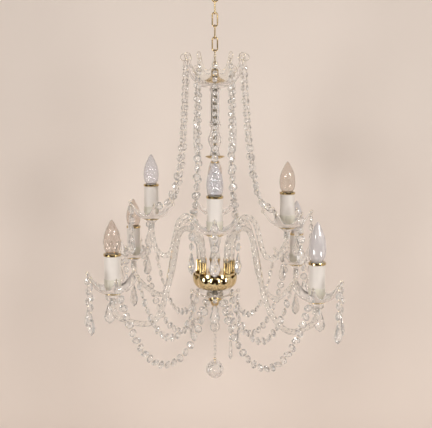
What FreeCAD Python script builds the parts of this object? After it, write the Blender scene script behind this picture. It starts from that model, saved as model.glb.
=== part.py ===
import FreeCAD, Part
import os
from math import asinh, cos, cosh, degrees, hypot, pi, radians, sin, sinh

os.makedirs("parts", exist_ok=True)

# A crystal chandelier with eight candle arms in two tiers, hung on a short
# chain.  Millimetres, +Z up, origin in the middle of the ceiling plate's
# upper face.  A heading of 0 looks along -Y (the front), +90 along +X.

# ---------------------------------------------------------------- clearances
hang_gap = 0.3           # between pieces that swing in each other
seat_gap = 0.1           # between pieces that are screwed or set together
thread_play = 0.3        # round the rod where it runs through a piece
socket_play = 0.25       # round a glass arm in its brass ends
overrun = 1.0            # how far a cut or a joined end runs past a face
cut_past = 30.0          # and the cuts between the points of a dish

# ------------------------------------------------------- ceiling plate, hook
plate_r = 30.0
plate_t = 3.0
plate_screws = 3
plate_pcd = 44.0
plate_hole_r = 2.25
plate_centre_r = 4.0     # the hook's shank goes through here
plate_bevel = 2.0
plate_bevel_h = 1.2
hook_wire_r = 2.0
hook_bend_r = 6.5
hook_drop = 46.5         # ceiling to the wire's centre at the bend
hook_collar_r = 7.0
hook_collar_h = 4.0
hook_neck = 20.0         # depth where the wire leaves the middle
hook_tip_rise = 8.0
hook_tip_lean = 0.4
hook_ball_r = 2.6        # small ball at the wire's end
hook_swell_rise = 16.6   # where the wire starts its bend, above its lowest point
hook_swell_reach = 5.6
hook_collar_bevel = 2.0
hook_shank_short = 0.2   # end of the shank below the ceiling

# --------------------------------------------------------------------- chain
link_count = 5
link_length = 32.0
link_width = 14.0
link_wire_r = 1.5

# ------------------------------------------------------- loop, cap, top dish
loop_ring_r = 6.0        # to the middle of its wire
loop_shank_r = 3.0
loop_shank_length = 8.0
cap_neck_r = 9.0
cap_neck_h = 15.0
cap_rim_r = 23.0
cap_flare_h = 10.0
cap_dome_h = 13.0
cap_waist_r = 7.8        # the neck below its top bead
cap_throat_r = 8.4
cap_bead_h = 6.0
cap_flare_r = 12.0
cap_flare_drop = 4.0
cap_rim_t = 3.2
cap_seat_r = 11.5
cap_above_loop = 1.0
rod_below_shank = 3.0
top_dish_rim_r = 66.0
top_dish_height = 64.0
top_dish_floor_r = 20.0
top_dish_t = 4.0
top_dish_points = 12
top_dish_scallop_r = 72.0   # where the cutting circles between points sit
crown_shares = ((0.36, 0.12), (0.66, 0.34), (0.86, 0.66))  # of width and height

# ---------------------------------------------------------------- centre stem
rod_r = 5.0
rod_bore_r = 3.0
tube_length = 74.0
tube_r = 10.0
tube_wall = 2.6
tube_lip_r = 12.5         # thick lips where the tube is seated
tube_lip_h = 3.0
tube_lip_slope = 5.0
baluster_length = 71.0
baluster_belly_r = 15.0
baluster_neck_r = 9.0
baluster_bead_r = 13.0
baluster_foot_r = 12.0
stem_seat_r = 11.0        # where a glass is seated in brass
mid_cup_r = 21.2
mid_cup_h = 16.0
mid_cup_pocket = 2.5
mid_cup_floor_r = 12.6
mid_cup_waist_r = 6.6
mid_cup_foot_r = 9.0
mid_cup_edge = 1.0
mid_cup_droop = 2.4       # its rim below the middle of the saucer
mid_cup_saucer_h = 8.0    # the shallow upper part
vase_length = 210.0
vase_belly_r = 18.0
vase_neck_r = 9.0
vase_ball_r = 14.5        # the second, smaller swelling
vase_foot_r = 12.0

# ------------------------------------------- receiver that carries the arms
receiver_r = 44.0
receiver_t = 6.0
receiver_hub_r = 13.0
receiver_hub_h = 31.0
receiver_waist_r = 10.5
receiver_root_r = 15.0
receiver_lip_h = 2.0
receiver_waist_h = 6.0
arm_circle_r = 37.0
bowl_rim_r = 50.0
bowl_depth = 34.0
bowl_wall = 1.6
bowl_below_plate = 4.5    # rim of the bowl below the plate's upper face
bowl_lobes = 10
bowl_shares = ((1.0, 0.0), (1.0, 0.2), (0.97, 0.45), (0.86, 0.72), (0.60, 0.93), (0.2, 1.0))
lobe_cut_share = 0.62     # of the way between two lobes that is cut away
lobe_cut_rise = 0.72      # middle of that cut above the rim, of its radius
lower_dish_hub_r = 27.0
lower_dish_hub_h = 15.0
lower_dish_rim_r = 51.0
lower_dish_t = 3.2
lower_dish_points = 8
lower_dish_rise = 9.0
lower_dish_scallop_r = 55.0
lower_dish_drop = 3.0     # its rim below the bowl
hub_seat_r = 14.85
hub_waist_r = 19.0
finial_r = 16.5
finial_h = 25.0
finial_loop_r = 4.0
finial_wire_r = 1.0
finial_tip_r = 3.0
rod_in_finial = 16.0

# ----------------------------------------------------------------- the arms
arm_r = 6.0
ferrule_r = 7.4
ferrule_h = 26.0
ferrule_floor = 2.0
ferrule_lip = 0.4
peg_r = 4.0
lower_reach = 282.0
upper_reach = 158.0
lower_ring_z = -563.0     # middle of the brass ring under a lower bulb
upper_ring_z = -446.0
tier_lean = 0.043         # the tiers stand this much lower towards +X
lower_first_heading = -45.0
upper_first_heading = 0.0
left_arm_turn = -20.0     # the left upper arm is swung back in its socket
left_arm_short = 6.0      # and comes this much less far out

# -------------------------------------------------------- candle, from ring
ring_r = 17.25
ring_h = 5.0
ring_edge = 0.6
sleeve_r = 15.9
sleeve_wall = 1.3
sleeve_length = 57.0
holder_r = 14.0
holder_above = 1.0
holder_length = 52.0
holder_bore_depth = 20.0
holder_thread = 6.0       # how deep the stud goes into the holder
bulb_cap_r = 11.0
bulb_cap_play = 0.4
bulb_cap_h = 17.0
bulb_cap_wall = 0.8
bulb_cap_floor = 3.0
bulb_cap_sunk = 1.0       # its top below the top of the holder
bulb_r = 17.5
bulb_wall = 0.9
bulb_shares = ((0.0, 0.60), (0.035, 0.62), (0.09, 0.77), (0.20, 0.94), (0.34, 1.0),
               (0.52, 0.93), (0.70, 0.72), (0.86, 0.40), (0.95, 0.19), (1.0, 0.0))
swirl_bulb_height = 69.0
long_bulb_height = 82.0
bayonet_pin_r = 1.0
bayonet_pin_reach = 2.0
bayonet_depth = 10.0
bayonet_turn = 15.0
bayonet_play = 0.3
pan_cup_h = 25.0          # glass cup in the pan, in which the sleeve stands
pan_cup_pocket = 12.0
pan_cup_wall = 0.7
pan_cup_play = 0.2
pan_cup_foot_r = 11.4
gallery_r = 17.0
gallery_t = 3.0
gallery_cone_h = 5.0
gallery_edge = 1.5
arm_cup_h = 17.0
arm_in_cup = 15.0         # how far the glass arm stands in its cup
arm_cup_lip = 0.8
stud_r = 5.0

# --------------------------------------------------------- glass drip pans
pan_points = 6
pan_rim_r = 53.0
pan_floor_r = 19.0
pan_t = 3.0
pan_rise = 33.5           # from the middle of its floor to its points
pan_scallop_r = 62.0
point_width = 7.0         # left at the end of every glass point
pan_shares = ((0.30, 0.16), (0.56, 0.40), (0.80, 0.72))    # of width and height
dish_heel = 0.8           # rise of a dish at the edge of its floor

# ----------------------------------------------------- crystals, rings, pins
jump_ring_r = 3.4
jump_wire_r = 0.45
ring_hole_r = 1.1
ring_hole_inset = 3.2
top_ring_r = 7.2          # wider, so that what hangs here clears the steep glass
top_hole_inset = 7.0
prism_first_pin = 6.0
pin_r = 0.4
pin_hole_r = 1.4
pin_hole_depth = 2.2
pin_in_bead = 1.6
pin_gap = 0.05
small_bead_w = 10.5
small_pitch = 14.0
large_bead_w = 16.0
large_pitch = 20.0
tiny_bead_w = 7.0
tiny_pitch = 9.2
bead_depth_share = 0.45
bead_table_share = 0.56
drop_length = 44.0
drop_width = 23.0
drop_depth_share = 0.5
long_drop_length = 42.0
long_drop_width = 10.0
prism_length = 84.0
prism_width = 12.0
ball_r = 20.0
ball_beads = 11
ball_rows = 8
ball_sides = 12
eye_r = 2.6
eye_wire_r = 0.7
eye_above_ball = 1.0
post_r = 1.0
post_depth = 4.0
strand_wire_r = 0.6
tiny_table_r = 0.9
small_share = 12          # small crystals in the upper part of a top strand
strand_first_pin = 8.0    # bare pins that keep the first crystals off the glass
strand_last_pin = 5.0
swag_first_pin = 7.0
strand_slack = 20.0       # catenary size of the strands from the top dish
outer_swag_slack = 80.0
inner_swag_slack = 66.0
prism_beads = 6
pendant_beads = 3
inner_pendant_beads = 1
dish_pendant_beads = 3
right_pendant_beads = 4   # the longer pendant at the right of the lower dish
long_drop_beads = 7
long_drop_heading = 67.5
front_drop_beads = 1
pin_length = small_pitch - small_bead_w


def vec(x, y, z):
    return FreeCAD.Vector(x, y, z)


def polar(reach, heading, z):
    """Point at a distance from the stem, heading 0 towards -Y."""
    turn = radians(heading)
    return vec(reach * sin(turn), -reach * cos(turn), z)


def moved(shape, point):
    matrix = FreeCAD.Matrix()
    matrix.move(point)
    return shape.transformed(matrix, True)


def turned(shape, angle):
    """A copy turned about the stem; a heading counts the same way."""
    matrix = FreeCAD.Matrix()
    matrix.rotateZ(radians(angle))
    return shape.transformed(matrix, True)


def aimed(shape, point, along, facing):
    """A copy with its own Z along one direction and -Y towards another."""
    up = FreeCAD.Vector(along).normalize()
    side = up.cross(FreeCAD.Vector(facing) * -1.0)
    side = side * -1.0
    side.normalize()
    back = up.cross(side)
    matrix = FreeCAD.Matrix(
        side.x, back.x, up.x, point.x,
        side.y, back.y, up.y, point.y,
        side.z, back.z, up.z, point.z,
        0, 0, 0, 1)
    return shape.transformed(matrix, True)


def cylinder(r, low, high, x=0.0, y=0.0):
    return Part.makeCylinder(r, high - low, vec(x, y, low))


def rod_between(a, b, r):
    return Part.makeCylinder(r, (b - a).Length, a, b - a)


def lathe(points):
    """Solid turned about Z from straight lines through (r, z) points."""
    corners = [vec(r, 0, z) for r, z in points]
    outline = Part.makePolygon(corners + [corners[0]])
    return Part.Face(outline).revolve(vec(0, 0, 0), vec(0, 0, 1), 360)


def lathe_smooth(outer, inner_r):
    """Turned solid with one smooth outer curve and a straight bore."""
    curve = Part.BSplineCurve()
    curve.interpolate([vec(r, 0, z) for r, z in outer])
    top = outer[0]
    low = outer[-1]
    bore_top = vec(inner_r, 0, top[1])
    bore_low = vec(inner_r, 0, low[1])
    edges = [curve.toShape(),
             Part.makeLine(vec(low[0], 0, low[1]), bore_low),
             Part.makeLine(bore_low, bore_top),
             Part.makeLine(bore_top, vec(top[0], 0, top[1]))]
    face = Part.Face(Part.Wire(edges))
    return face.revolve(vec(0, 0, 0), vec(0, 0, 1), 360)


def ring_solid(centre, axis, ring_radius, wire_radius):
    return Part.makeTorus(ring_radius, wire_radius, centre, axis)


def faceted(rings, sides, depth_share=1.0, half_step=True):
    """Flat-sided solid from stacked, similar rings of (z, half width).

    A ring of no width is a point.  Every side is flat because all rings
    are the same polygon at different sizes.
    """
    shift = pi / sides if half_step else 0.0
    loops = []
    for z, size in rings:
        if size == 0:
            loops.append([vec(0, 0, z)])
            continue
        loop = []
        for k in range(sides):
            angle = 2 * pi * k / sides + shift
            loop.append(vec(size * cos(angle), size * sin(angle) * depth_share, z))
        loops.append(loop)
    faces = []
    for low, high in zip(loops[:-1], loops[1:]):
        for k in range(sides):
            j = (k + 1) % sides
            if len(low) == 1:
                corners = [low[0], high[j], high[k]]
            elif len(high) == 1:
                corners = [low[k], low[j], high[0]]
            else:
                corners = [low[k], low[j], high[j], high[k]]
            faces.append(Part.Face(Part.makePolygon(corners + [corners[0]])))
    for loop in (loops[0], loops[-1]):
        if len(loop) > 1:
            faces.append(Part.Face(Part.makePolygon(loop + [loop[0]])))
    solid = Part.Solid(Part.Shell(faces))
    if solid.Volume < 0:
        solid.reverse()
    return solid


def octagon_bead(width):
    """Octagon crystal standing on its flat, drilled at both ends."""
    corner = width / 2 / cos(pi / 8)
    half = width * bead_depth_share / 2
    table = corner * bead_table_share
    bead = faceted([(-half, table), (0, corner), (half, table)], 8)
    matrix = FreeCAD.Matrix()
    matrix.rotateX(pi / 2)
    bead = bead.transformed(matrix, True)
    for end in (-1, 1):
        bead = bead.cut(rod_between(vec(0, 0, end * (width / 2 - pin_hole_depth)),
                                    vec(0, 0, end * width), pin_hole_r))
    return bead


def hung_drop(length, width, shares, sides, depth_share):
    """A drop hanging from the origin, drilled at its top end."""
    rings = [(-length * down, width / 2 * size) for down, size in shares]
    body = faceted(rings, sides, depth_share, False)
    return body.cut(rod_between(vec(0, 0, 1), vec(0, 0, -pin_hole_depth), pin_hole_r))


pear_shares = ((0.0, 0.17), (0.07, 0.27), (0.36, 0.66), (0.66, 1.0),
               (0.86, 0.72), (1.0, 0.0))
prism_shares = ((0.0, 0.42), (0.06, 0.7), (0.14, 1.0), (0.80, 0.82), (1.0, 0.0))
arrow_shares = ((0.0, 0.42), (0.05, 0.62), (0.18, 0.62), (0.78, 1.0), (1.0, 0.0))

small_bead = octagon_bead(small_bead_w)
large_bead = octagon_bead(large_bead_w)
pear_drop = hung_drop(drop_length, drop_width, pear_shares, 8, drop_depth_share)
prism_drop = hung_drop(prism_length, prism_width, prism_shares, 6, 1.0)
arrow_drop = hung_drop(long_drop_length, long_drop_width, arrow_shares, 6, 1.0)

parts = {}


def keep(name, shape):
    """File one piece, or one list of separate solids, under its name."""
    parts[name] = Part.makeCompound(shape) if isinstance(shape, list) else shape


# ------------------------------------------------------------- ceiling plate
plate = lathe([(plate_centre_r, 0), (plate_r, 0), (plate_r, plate_bevel_h - plate_t),
               (plate_r - plate_bevel, -plate_t), (plate_centre_r, -plate_t)])
for k in range(plate_screws):
    spot = polar(plate_pcd / 2, 360 / plate_screws * k, 0)
    plate = plate.cut(cylinder(plate_hole_r, -plate_t - overrun, overrun, spot.x, spot.y))
keep("ceiling_plate", plate)

# ---------------------------------------------------------------------- hook
collar_low = -plate_t - hook_collar_h
hook_tip = vec(-hook_bend_r - hook_tip_lean, 0, -hook_drop + hook_bend_r + hook_tip_rise)
hook_path = Part.BSplineCurve()
hook_path.interpolate([vec(0, 0, collar_low),
                       vec(0, 0, -hook_neck),
                       vec(hook_swell_reach, 0, -hook_drop + hook_swell_rise),
                       vec(hook_bend_r, 0, -hook_drop + hook_bend_r),
                       vec(0, 0, -hook_drop),
                       vec(-hook_bend_r, 0, -hook_drop + hook_bend_r),
                       hook_tip])
hook_line = Part.Wire([hook_path.toShape()])
hook_start = Part.Wire([Part.makeCircle(hook_wire_r, vec(0, 0, collar_low), vec(0, 0, -1))])
hook = hook_line.makePipeShell([hook_start], True, False)
hook = hook.fuse(Part.makeSphere(hook_ball_r, hook_tip))
collar = lathe([(0, -plate_t - seat_gap), (hook_collar_r, -plate_t - seat_gap),
                (hook_collar_r, collar_low + hook_collar_bevel / 2),
                (hook_collar_r - hook_collar_bevel, collar_low),
                (0, collar_low)])
shank = cylinder(plate_centre_r - seat_gap, -plate_t - overrun, -hook_shank_short)
keep("ceiling_hook", hook.fuse([collar, shank]).removeSplitter())


# --------------------------------------------------------------------- chain
def chain_link(centre_z, across_y):
    """Long link with round ends; odd links stand edge-on to the front."""
    bend = link_width / 2 - link_wire_r
    straight = link_length / 2 - link_width / 2
    side = vec(0, 1, 0) if across_y else vec(1, 0, 0)
    normal = vec(1, 0, 0) if across_y else vec(0, 1, 0)
    top = vec(0, 0, centre_z + straight)
    low = vec(0, 0, centre_z - straight)
    corner = [top + side * bend, top - side * bend, low - side * bend, low + side * bend]
    edges = [Part.Arc(corner[0], top + vec(0, 0, bend), corner[1]).toShape(),
             Part.makeLine(corner[1], corner[2]),
             Part.Arc(corner[2], low - vec(0, 0, bend), corner[3]).toShape(),
             Part.makeLine(corner[3], corner[0])]
    path = Part.Wire(edges)
    start = Part.Wire([Part.makeCircle(link_wire_r, corner[0], vec(0, 0, 1))])
    link = path.makePipeShell([start], True, False)
    if not link.isValid() or link.Volume < 0:
        link.reverse()
    return link


link_wire_reach = link_length / 2 - link_wire_r
hang_z = -hook_drop
hang_wire_r = hook_wire_r
chain_pivots = []
for k in range(link_count):
    chain_pivots.append(hang_z)
    link_top_z = hang_z + hang_wire_r + hang_gap + link_wire_r
    link_centre_z = link_top_z - link_wire_reach
    keep(f"chain_link_{k + 1}", chain_link(link_centre_z, k % 2 == 0))
    hang_z = link_centre_z - link_wire_reach
    hang_wire_r = link_wire_r
chain_pivots.append(hang_z)

# ------------------------------------------------------ loop and brass cap
loop_centre_z = hang_z + link_wire_r + hang_gap + link_wire_r - loop_ring_r
loop_low_z = loop_centre_z - loop_ring_r - link_wire_r
cap_top_z = loop_low_z - cap_above_loop
loop = ring_solid(vec(0, 0, loop_centre_z), vec(0, 1, 0), loop_ring_r, link_wire_r)
loop = loop.fuse(cylinder(loop_shank_r, cap_top_z - loop_shank_length,
                          loop_low_z + link_wire_r))
keep("top_loop", loop.removeSplitter())

flare_z = cap_top_z - cap_neck_h
rim_z = flare_z - cap_flare_h
cap_low_z = rim_z - cap_dome_h
rod_top_z = cap_top_z - loop_shank_length - rod_below_shank
cap = lathe([(0, cap_top_z), (cap_neck_r - 2, cap_top_z), (cap_neck_r, cap_top_z - cap_bead_h / 2),
             (cap_waist_r, cap_top_z - cap_bead_h), (cap_throat_r, flare_z),
             (cap_flare_r, flare_z - cap_flare_drop), (cap_rim_r - cap_rim_t, rim_z + cap_rim_t / 2),
             (cap_rim_r, rim_z), (cap_rim_r, rim_z - cap_rim_t / 2),
             ((cap_rim_r + cap_seat_r) / 2, rim_z - cap_dome_h / 2), (cap_seat_r, cap_low_z),
             (0, cap_low_z)])
cap = cap.cut(cylinder(loop_shank_r + seat_gap, cap_top_z - loop_shank_length - overrun / 2,
                       cap_top_z + overrun))
cap = cap.cut(cylinder(rod_r + seat_gap, cap_low_z - overrun, rod_top_z + overrun / 2))
keep("top_cap", cap)


# --------------------------------------------------------- star-cut glassware
class StarDish:
    """Glass dish whose rim is cut into points by circles between them."""

    def __init__(self, middle, thick, points, scallop_r, first_point, hub=None):
        self.middle = middle
        self.thick = thick
        self.points = points
        self.scallop_r = scallop_r
        self.first_point = first_point
        self.cut_r = scallop_r * sin(pi / points) - point_width / 2
        self.hub = hub
        self.holes = []

    def slope(self, reach):
        """Height of the middle of the glass there, and its direction."""
        runs = list(zip(self.middle[:-1], self.middle[1:]))
        (r0, z0), (r1, z1) = next((run for run in runs if reach <= run[1][0]), runs[-1])
        share = (reach - r0) / (r1 - r0)
        span = hypot(r1 - r0, z1 - z0)
        return z0 + share * (z1 - z0), (r1 - r0) / span, (z1 - z0) / span

    def edge(self, heading, at_scallop, inset):
        """Middle of the glass edge at a point or at a scallop."""
        reach = self.middle[-1][0]
        if at_scallop:
            reach = self.scallop_r - self.cut_r
        z, out, up = self.slope(reach)
        self.holes.append((reach, z, out, up, heading, inset))
        return reach, z

    def solid(self):
        half = self.thick / 2
        count = len(self.middle)
        upper = []
        lower = []
        for k, (r, z) in enumerate(self.middle):
            r0, z0 = self.middle[max(k - 1, 0)]
            r1, z1 = self.middle[min(k + 1, count - 1)]
            span = hypot(r1 - r0, z1 - z0)
            lean_r = -(z1 - z0) / span * half
            lean_z = (r1 - r0) / span * half
            upper.append(vec(r + lean_r, 0, z + lean_z))
            lower.append(vec(r - lean_r, 0, z - lean_z))
        top = Part.BSplineCurve()
        top.interpolate(upper)
        low = Part.BSplineCurve()
        low.interpolate(lower)
        wire = Part.Wire([top.toShape(), Part.makeLine(upper[-1], lower[-1]),
                          low.toShape(), Part.makeLine(lower[0], upper[0])])
        dish = Part.Face(wire).revolve(vec(0, 0, 0), vec(0, 0, 1), 360)
        if self.hub:
            dish = dish.fuse(self.hub)
        z_low = min(z for r, z in self.middle) - cut_past
        z_high = max(z for r, z in self.middle) + cut_past
        cutters = []
        for k in range(self.points):
            heading = self.first_point + (k + 0.5) * 360 / self.points
            spot = polar(self.scallop_r, heading, 0)
            cutters.append(cylinder(self.cut_r, z_low, z_high, spot.x, spot.y))
        for reach, z, out, up, heading, inset in self.holes:
            centre = polar(reach - out * inset, heading, z - up * inset)
            normal = polar(-up, heading, out)
            half_run = normal * (self.thick * 1.6)
            cutters.append(rod_between(centre - half_run, centre + half_run, ring_hole_r))
        return dish.cut(cutters)


jump_rings = []
strand_pins = []


def hang_ring(dish, centre_xy, turn, point_heading, at_scallop=False, spare=None,
              ring_r=jump_ring_r, inset=ring_hole_inset):
    """Ring through the hole of one glass point; gives its centre."""
    reach, z = dish.edge(point_heading, at_scallop, inset)
    spot = polar(reach, point_heading + turn, z) + centre_xy
    axis = polar(1.0, point_heading + turn + 90, 0)
    ring = ring_solid(spot, axis, ring_r, jump_wire_r)
    if spare is None:
        jump_rings.append(ring)
    else:
        spare.append(ring)
    return spot


def straight_pendant(top, facing, bead, width, pitch, count, drop, pins,
                     ring_r=jump_ring_r, first_pin=pin_length):
    """Crystals one under the other below a ring, and a drop at the end."""
    solids = []
    end = top - vec(0, 0, ring_r + jump_wire_r + pin_gap)
    inner = vec(0, 0, width / 2 - pin_in_bead)
    first_z = end.z - first_pin - width / 2
    for k in range(count):
        centre = vec(top.x, top.y, first_z - pitch * k)
        pins.append(rod_between(end, centre + inner, pin_r))
        view = facing + (20 if k % 2 else -14)
        solids.append(aimed(bead, centre, vec(0, 0, 1), polar(1, view, 0)))
        end = centre - inner
    drop_top = end - vec(0, 0, pin_length + (pin_in_bead if count else 0))
    pins.append(rod_between(end, drop_top - vec(0, 0, pin_in_bead), pin_r))
    solids.append(aimed(drop, drop_top, vec(0, 0, 1), polar(1, facing, 0)))
    return solids


def hanging_points(start, end, slack):
    """Arc length and a place-and-direction function of a hanging line."""
    flat = vec(end.x - start.x, end.y - start.y, 0)
    run = flat.Length
    ahead = flat * (1 / run)
    half = run / slack / 2
    middle = asinh((end.z - start.z) / (2 * slack * sinh(half)))
    u0 = middle - half
    length = slack * (sinh(middle + half) - sinh(u0))

    def at(travel):
        u = asinh(travel / slack + sinh(u0))
        place = start + ahead * (slack * (u - u0)) + vec(0, 0, slack * (cosh(u) - cosh(u0)))
        direction = ahead * (1 / cosh(u)) + vec(0, 0, sinh(u) / cosh(u))
        return place, direction

    return length, at


def bead_row(start, end, slack, sizes, facing, used, spare):
    """Crystals on a hanging line.  sizes gives (width, pitch, first count);
    the last size fills the rest.  used and spare are the bare pin before the
    first crystal and after the last.  Returns one list for every size."""
    length, at = hanging_points(start, end, slack)
    length -= spare
    plan = []
    for which, (width, pitch, count) in enumerate(sizes):
        if count is None:
            count = round((length - used) / pitch)
            pitch = (length - used) / count
        for k in range(count):
            plan.append((used + pitch * (k + 0.5), width, which))
        used += pitch * count
    rows = [[] for _ in sizes]
    last_end = start
    for k, (travel, width, which) in enumerate(plan):
        place, along = at(travel)
        bead = small_bead if width == small_bead_w else large_bead
        twist = facing + (24 if k % 2 else -18)
        rows[which].append(aimed(bead, place, along * -1, polar(1, twist, 0)))
        inner = along * (width / 2 - pin_in_bead)
        strand_pins.append(rod_between(last_end, place - inner, pin_r))
        last_end = place + inner
    strand_pins.append(rod_between(last_end, end, pin_r))
    return rows


ring_drop = vec(0, 0, jump_ring_r + jump_wire_r + pin_gap)
slant_drop = ring_drop + vec(0, 0, 2 * pin_r)      # for a pin that comes in aslant
top_ring_drop = vec(0, 0, top_ring_r + jump_wire_r + pin_gap)

# ------------------------------------------------------------------ top dish
top_dish_floor_z = cap_low_z - seat_gap - top_dish_t / 2
bore_r = rod_r + thread_play
wide = top_dish_rim_r - top_dish_floor_r
top_middle = [(bore_r, top_dish_floor_z),
              (top_dish_floor_r * 0.6, top_dish_floor_z),
              (top_dish_floor_r, top_dish_floor_z + dish_heel),
              *[(top_dish_floor_r + wide * a, top_dish_floor_z + top_dish_height * b)
                for a, b in crown_shares],
              (top_dish_rim_r, top_dish_floor_z + top_dish_height)]
top_dish = StarDish(top_middle, top_dish_t, top_dish_points, top_dish_scallop_r, 0.0)

# ---------------------------------------------------------------- centre stem
tube_top_z = top_dish_floor_z - top_dish_t / 2 - seat_gap
tube_low_z = tube_top_z - tube_length
tube_lip_end = tube_lip_h + tube_lip_slope
tube_outer = [(tube_lip_r, tube_top_z), (tube_lip_r, tube_top_z - tube_lip_h),
              (tube_r, tube_top_z - tube_lip_end), (tube_r, tube_low_z + tube_lip_end),
              (tube_lip_r, tube_low_z + tube_lip_h), (tube_lip_r, tube_low_z)]
tube_inner = [(tube_r - tube_wall, tube_low_z), (tube_r - tube_wall, tube_top_z)]
keep("stem_tube", lathe(tube_outer + tube_inner))

baluster_top_z = tube_low_z - seat_gap
baluster_low_z = baluster_top_z - baluster_length
belly = baluster_belly_r
baluster_outer = [(stem_seat_r, baluster_top_z), (baluster_bead_r, baluster_top_z - 3.5),
                  (baluster_neck_r + 0.5, baluster_top_z - 8),
                  (baluster_neck_r, baluster_top_z - 15),
                  (belly * 0.86, baluster_top_z - 26), (belly, baluster_top_z - 37),
                  (belly * 0.72, baluster_top_z - 49), (baluster_neck_r, baluster_low_z + 13),
                  (baluster_neck_r + 1.5, baluster_low_z + 6),
                  (baluster_foot_r, baluster_low_z)]
keep("stem_baluster", lathe_smooth(baluster_outer, bore_r))

cup_floor_z = baluster_low_z - seat_gap
cup_top_z = cup_floor_z + mid_cup_pocket
cup_low_z = cup_top_z - mid_cup_h
keep("mid_cup", lathe([(bore_r, cup_floor_z), (mid_cup_floor_r, cup_floor_z),
                       (mid_cup_floor_r + mid_cup_edge, cup_top_z),
                       (mid_cup_r * 0.85, cup_top_z - mid_cup_droop * 0.3),
                       (mid_cup_r, cup_top_z - mid_cup_droop),
                       (mid_cup_r, cup_top_z - mid_cup_droop - mid_cup_edge),
                       (mid_cup_r * 0.72, cup_top_z - mid_cup_saucer_h * 0.8),
                       (mid_cup_foot_r, cup_top_z - mid_cup_saucer_h),
                       (mid_cup_waist_r, cup_top_z - mid_cup_saucer_h - 1.5),
                       (mid_cup_waist_r, cup_low_z + 4.5),
                       (mid_cup_foot_r, cup_low_z + 2), (mid_cup_foot_r, cup_low_z),
                       (bore_r, cup_low_z)]))

vase_top_z = cup_low_z - seat_gap
vase_low_z = vase_top_z - vase_length
vase_outer = [(vase_neck_r + 0.5, vase_top_z), (vase_foot_r, vase_top_z - 5),
              (vase_neck_r, vase_top_z - 14), (vase_belly_r, vase_top_z - 44),
              (vase_belly_r * 0.9, vase_top_z - 70), (vase_neck_r + 1, vase_top_z - 108),
              (vase_neck_r, vase_low_z + 82), (vase_ball_r, vase_low_z + 58),
              (vase_ball_r - 2, vase_low_z + 34), (vase_neck_r + 0.5, vase_low_z + 18),
              (vase_foot_r, vase_low_z)]
keep("stem_lower", lathe_smooth(vase_outer, bore_r))

# ------------------------------------------------------- receiver and finial
hub_top_z = vase_low_z - seat_gap
plate_top_z = hub_top_z - receiver_hub_h
plate_low_z = plate_top_z - receiver_t
receiver = lathe([(bore_r, hub_top_z), (receiver_hub_r - receiver_lip_h / 2, hub_top_z),
                  (receiver_hub_r, hub_top_z - receiver_lip_h),
                  (receiver_waist_r, hub_top_z - receiver_lip_h - receiver_waist_h),
                  (receiver_waist_r, plate_top_z + receiver_waist_h),
                  (receiver_root_r, plate_top_z),
                  (receiver_r, plate_top_z), (receiver_r, plate_low_z),
                  (bore_r, plate_low_z)])
headings = [("lower", k, lower_first_heading + 90 * k) for k in range(4)]
headings += [("upper", k, upper_first_heading + 90 * k) for k in range(3)]
headings.append(("upper", 3, upper_first_heading + 270 + left_arm_turn))
for tier, k, heading in headings:
    spot = polar(arm_circle_r, heading, 0)
    receiver = receiver.cut(cylinder(peg_r + seat_gap, plate_low_z - overrun,
                                     plate_top_z + overrun, spot.x, spot.y))
keep("receiver_plate", receiver)

bowl_rim_z = plate_top_z - bowl_below_plate
bowl_low_z = bowl_rim_z - bowl_depth
bowl_outer = [(bowl_rim_r * a, bowl_rim_z - bowl_depth * b) for a, b in bowl_shares]
bowl_inner = [(bowl_rim_r * a - bowl_wall, bowl_rim_z - (bowl_depth - bowl_wall) * b)
              for a, b in bowl_shares]
bowl = lathe(bowl_outer + [(bore_r, bowl_low_z), (bore_r, bowl_low_z + bowl_wall)]
             + bowl_inner[::-1])
lobe_cut_r = bowl_rim_r * sin(pi / bowl_lobes) * lobe_cut_share
lobe_cut_z = bowl_rim_z + lobe_cut_r * lobe_cut_rise
for k in range(bowl_lobes):
    heading = 360 / bowl_lobes * (k + 0.5)
    bowl = bowl.cut(rod_between(polar(bowl_rim_r * 0.7, heading, lobe_cut_z),
                                polar(bowl_rim_r * 1.2, heading, lobe_cut_z), lobe_cut_r))
keep("receiver_bowl", bowl)

dish_top_z = bowl_low_z - seat_gap
dish_low_z = dish_top_z - lower_dish_hub_h
lower_rim_z = dish_top_z - lower_dish_drop
lower_dish_floor_z = lower_rim_z - lower_dish_rise
dish_hub = lathe([(bore_r, dish_top_z), (hub_seat_r, dish_top_z),
                  (hub_waist_r, lower_dish_floor_z + lower_dish_t / 2),
                  (lower_dish_hub_r, lower_dish_floor_z),
                  (hub_waist_r, dish_low_z), (bore_r, dish_low_z)])
lower_wide = lower_dish_rim_r - lower_dish_hub_r
lower_middle = [(bore_r + 4, lower_dish_floor_z),
                (hub_waist_r, lower_dish_floor_z),
                (lower_dish_hub_r, lower_dish_floor_z + 0.3),
                (lower_dish_hub_r + lower_wide * 0.5, lower_dish_floor_z + 2.8),
                (lower_dish_rim_r, lower_rim_z)]
lower_dish = StarDish(lower_middle, lower_dish_t, lower_dish_points,
                      lower_dish_scallop_r, 0.0, dish_hub)

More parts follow.
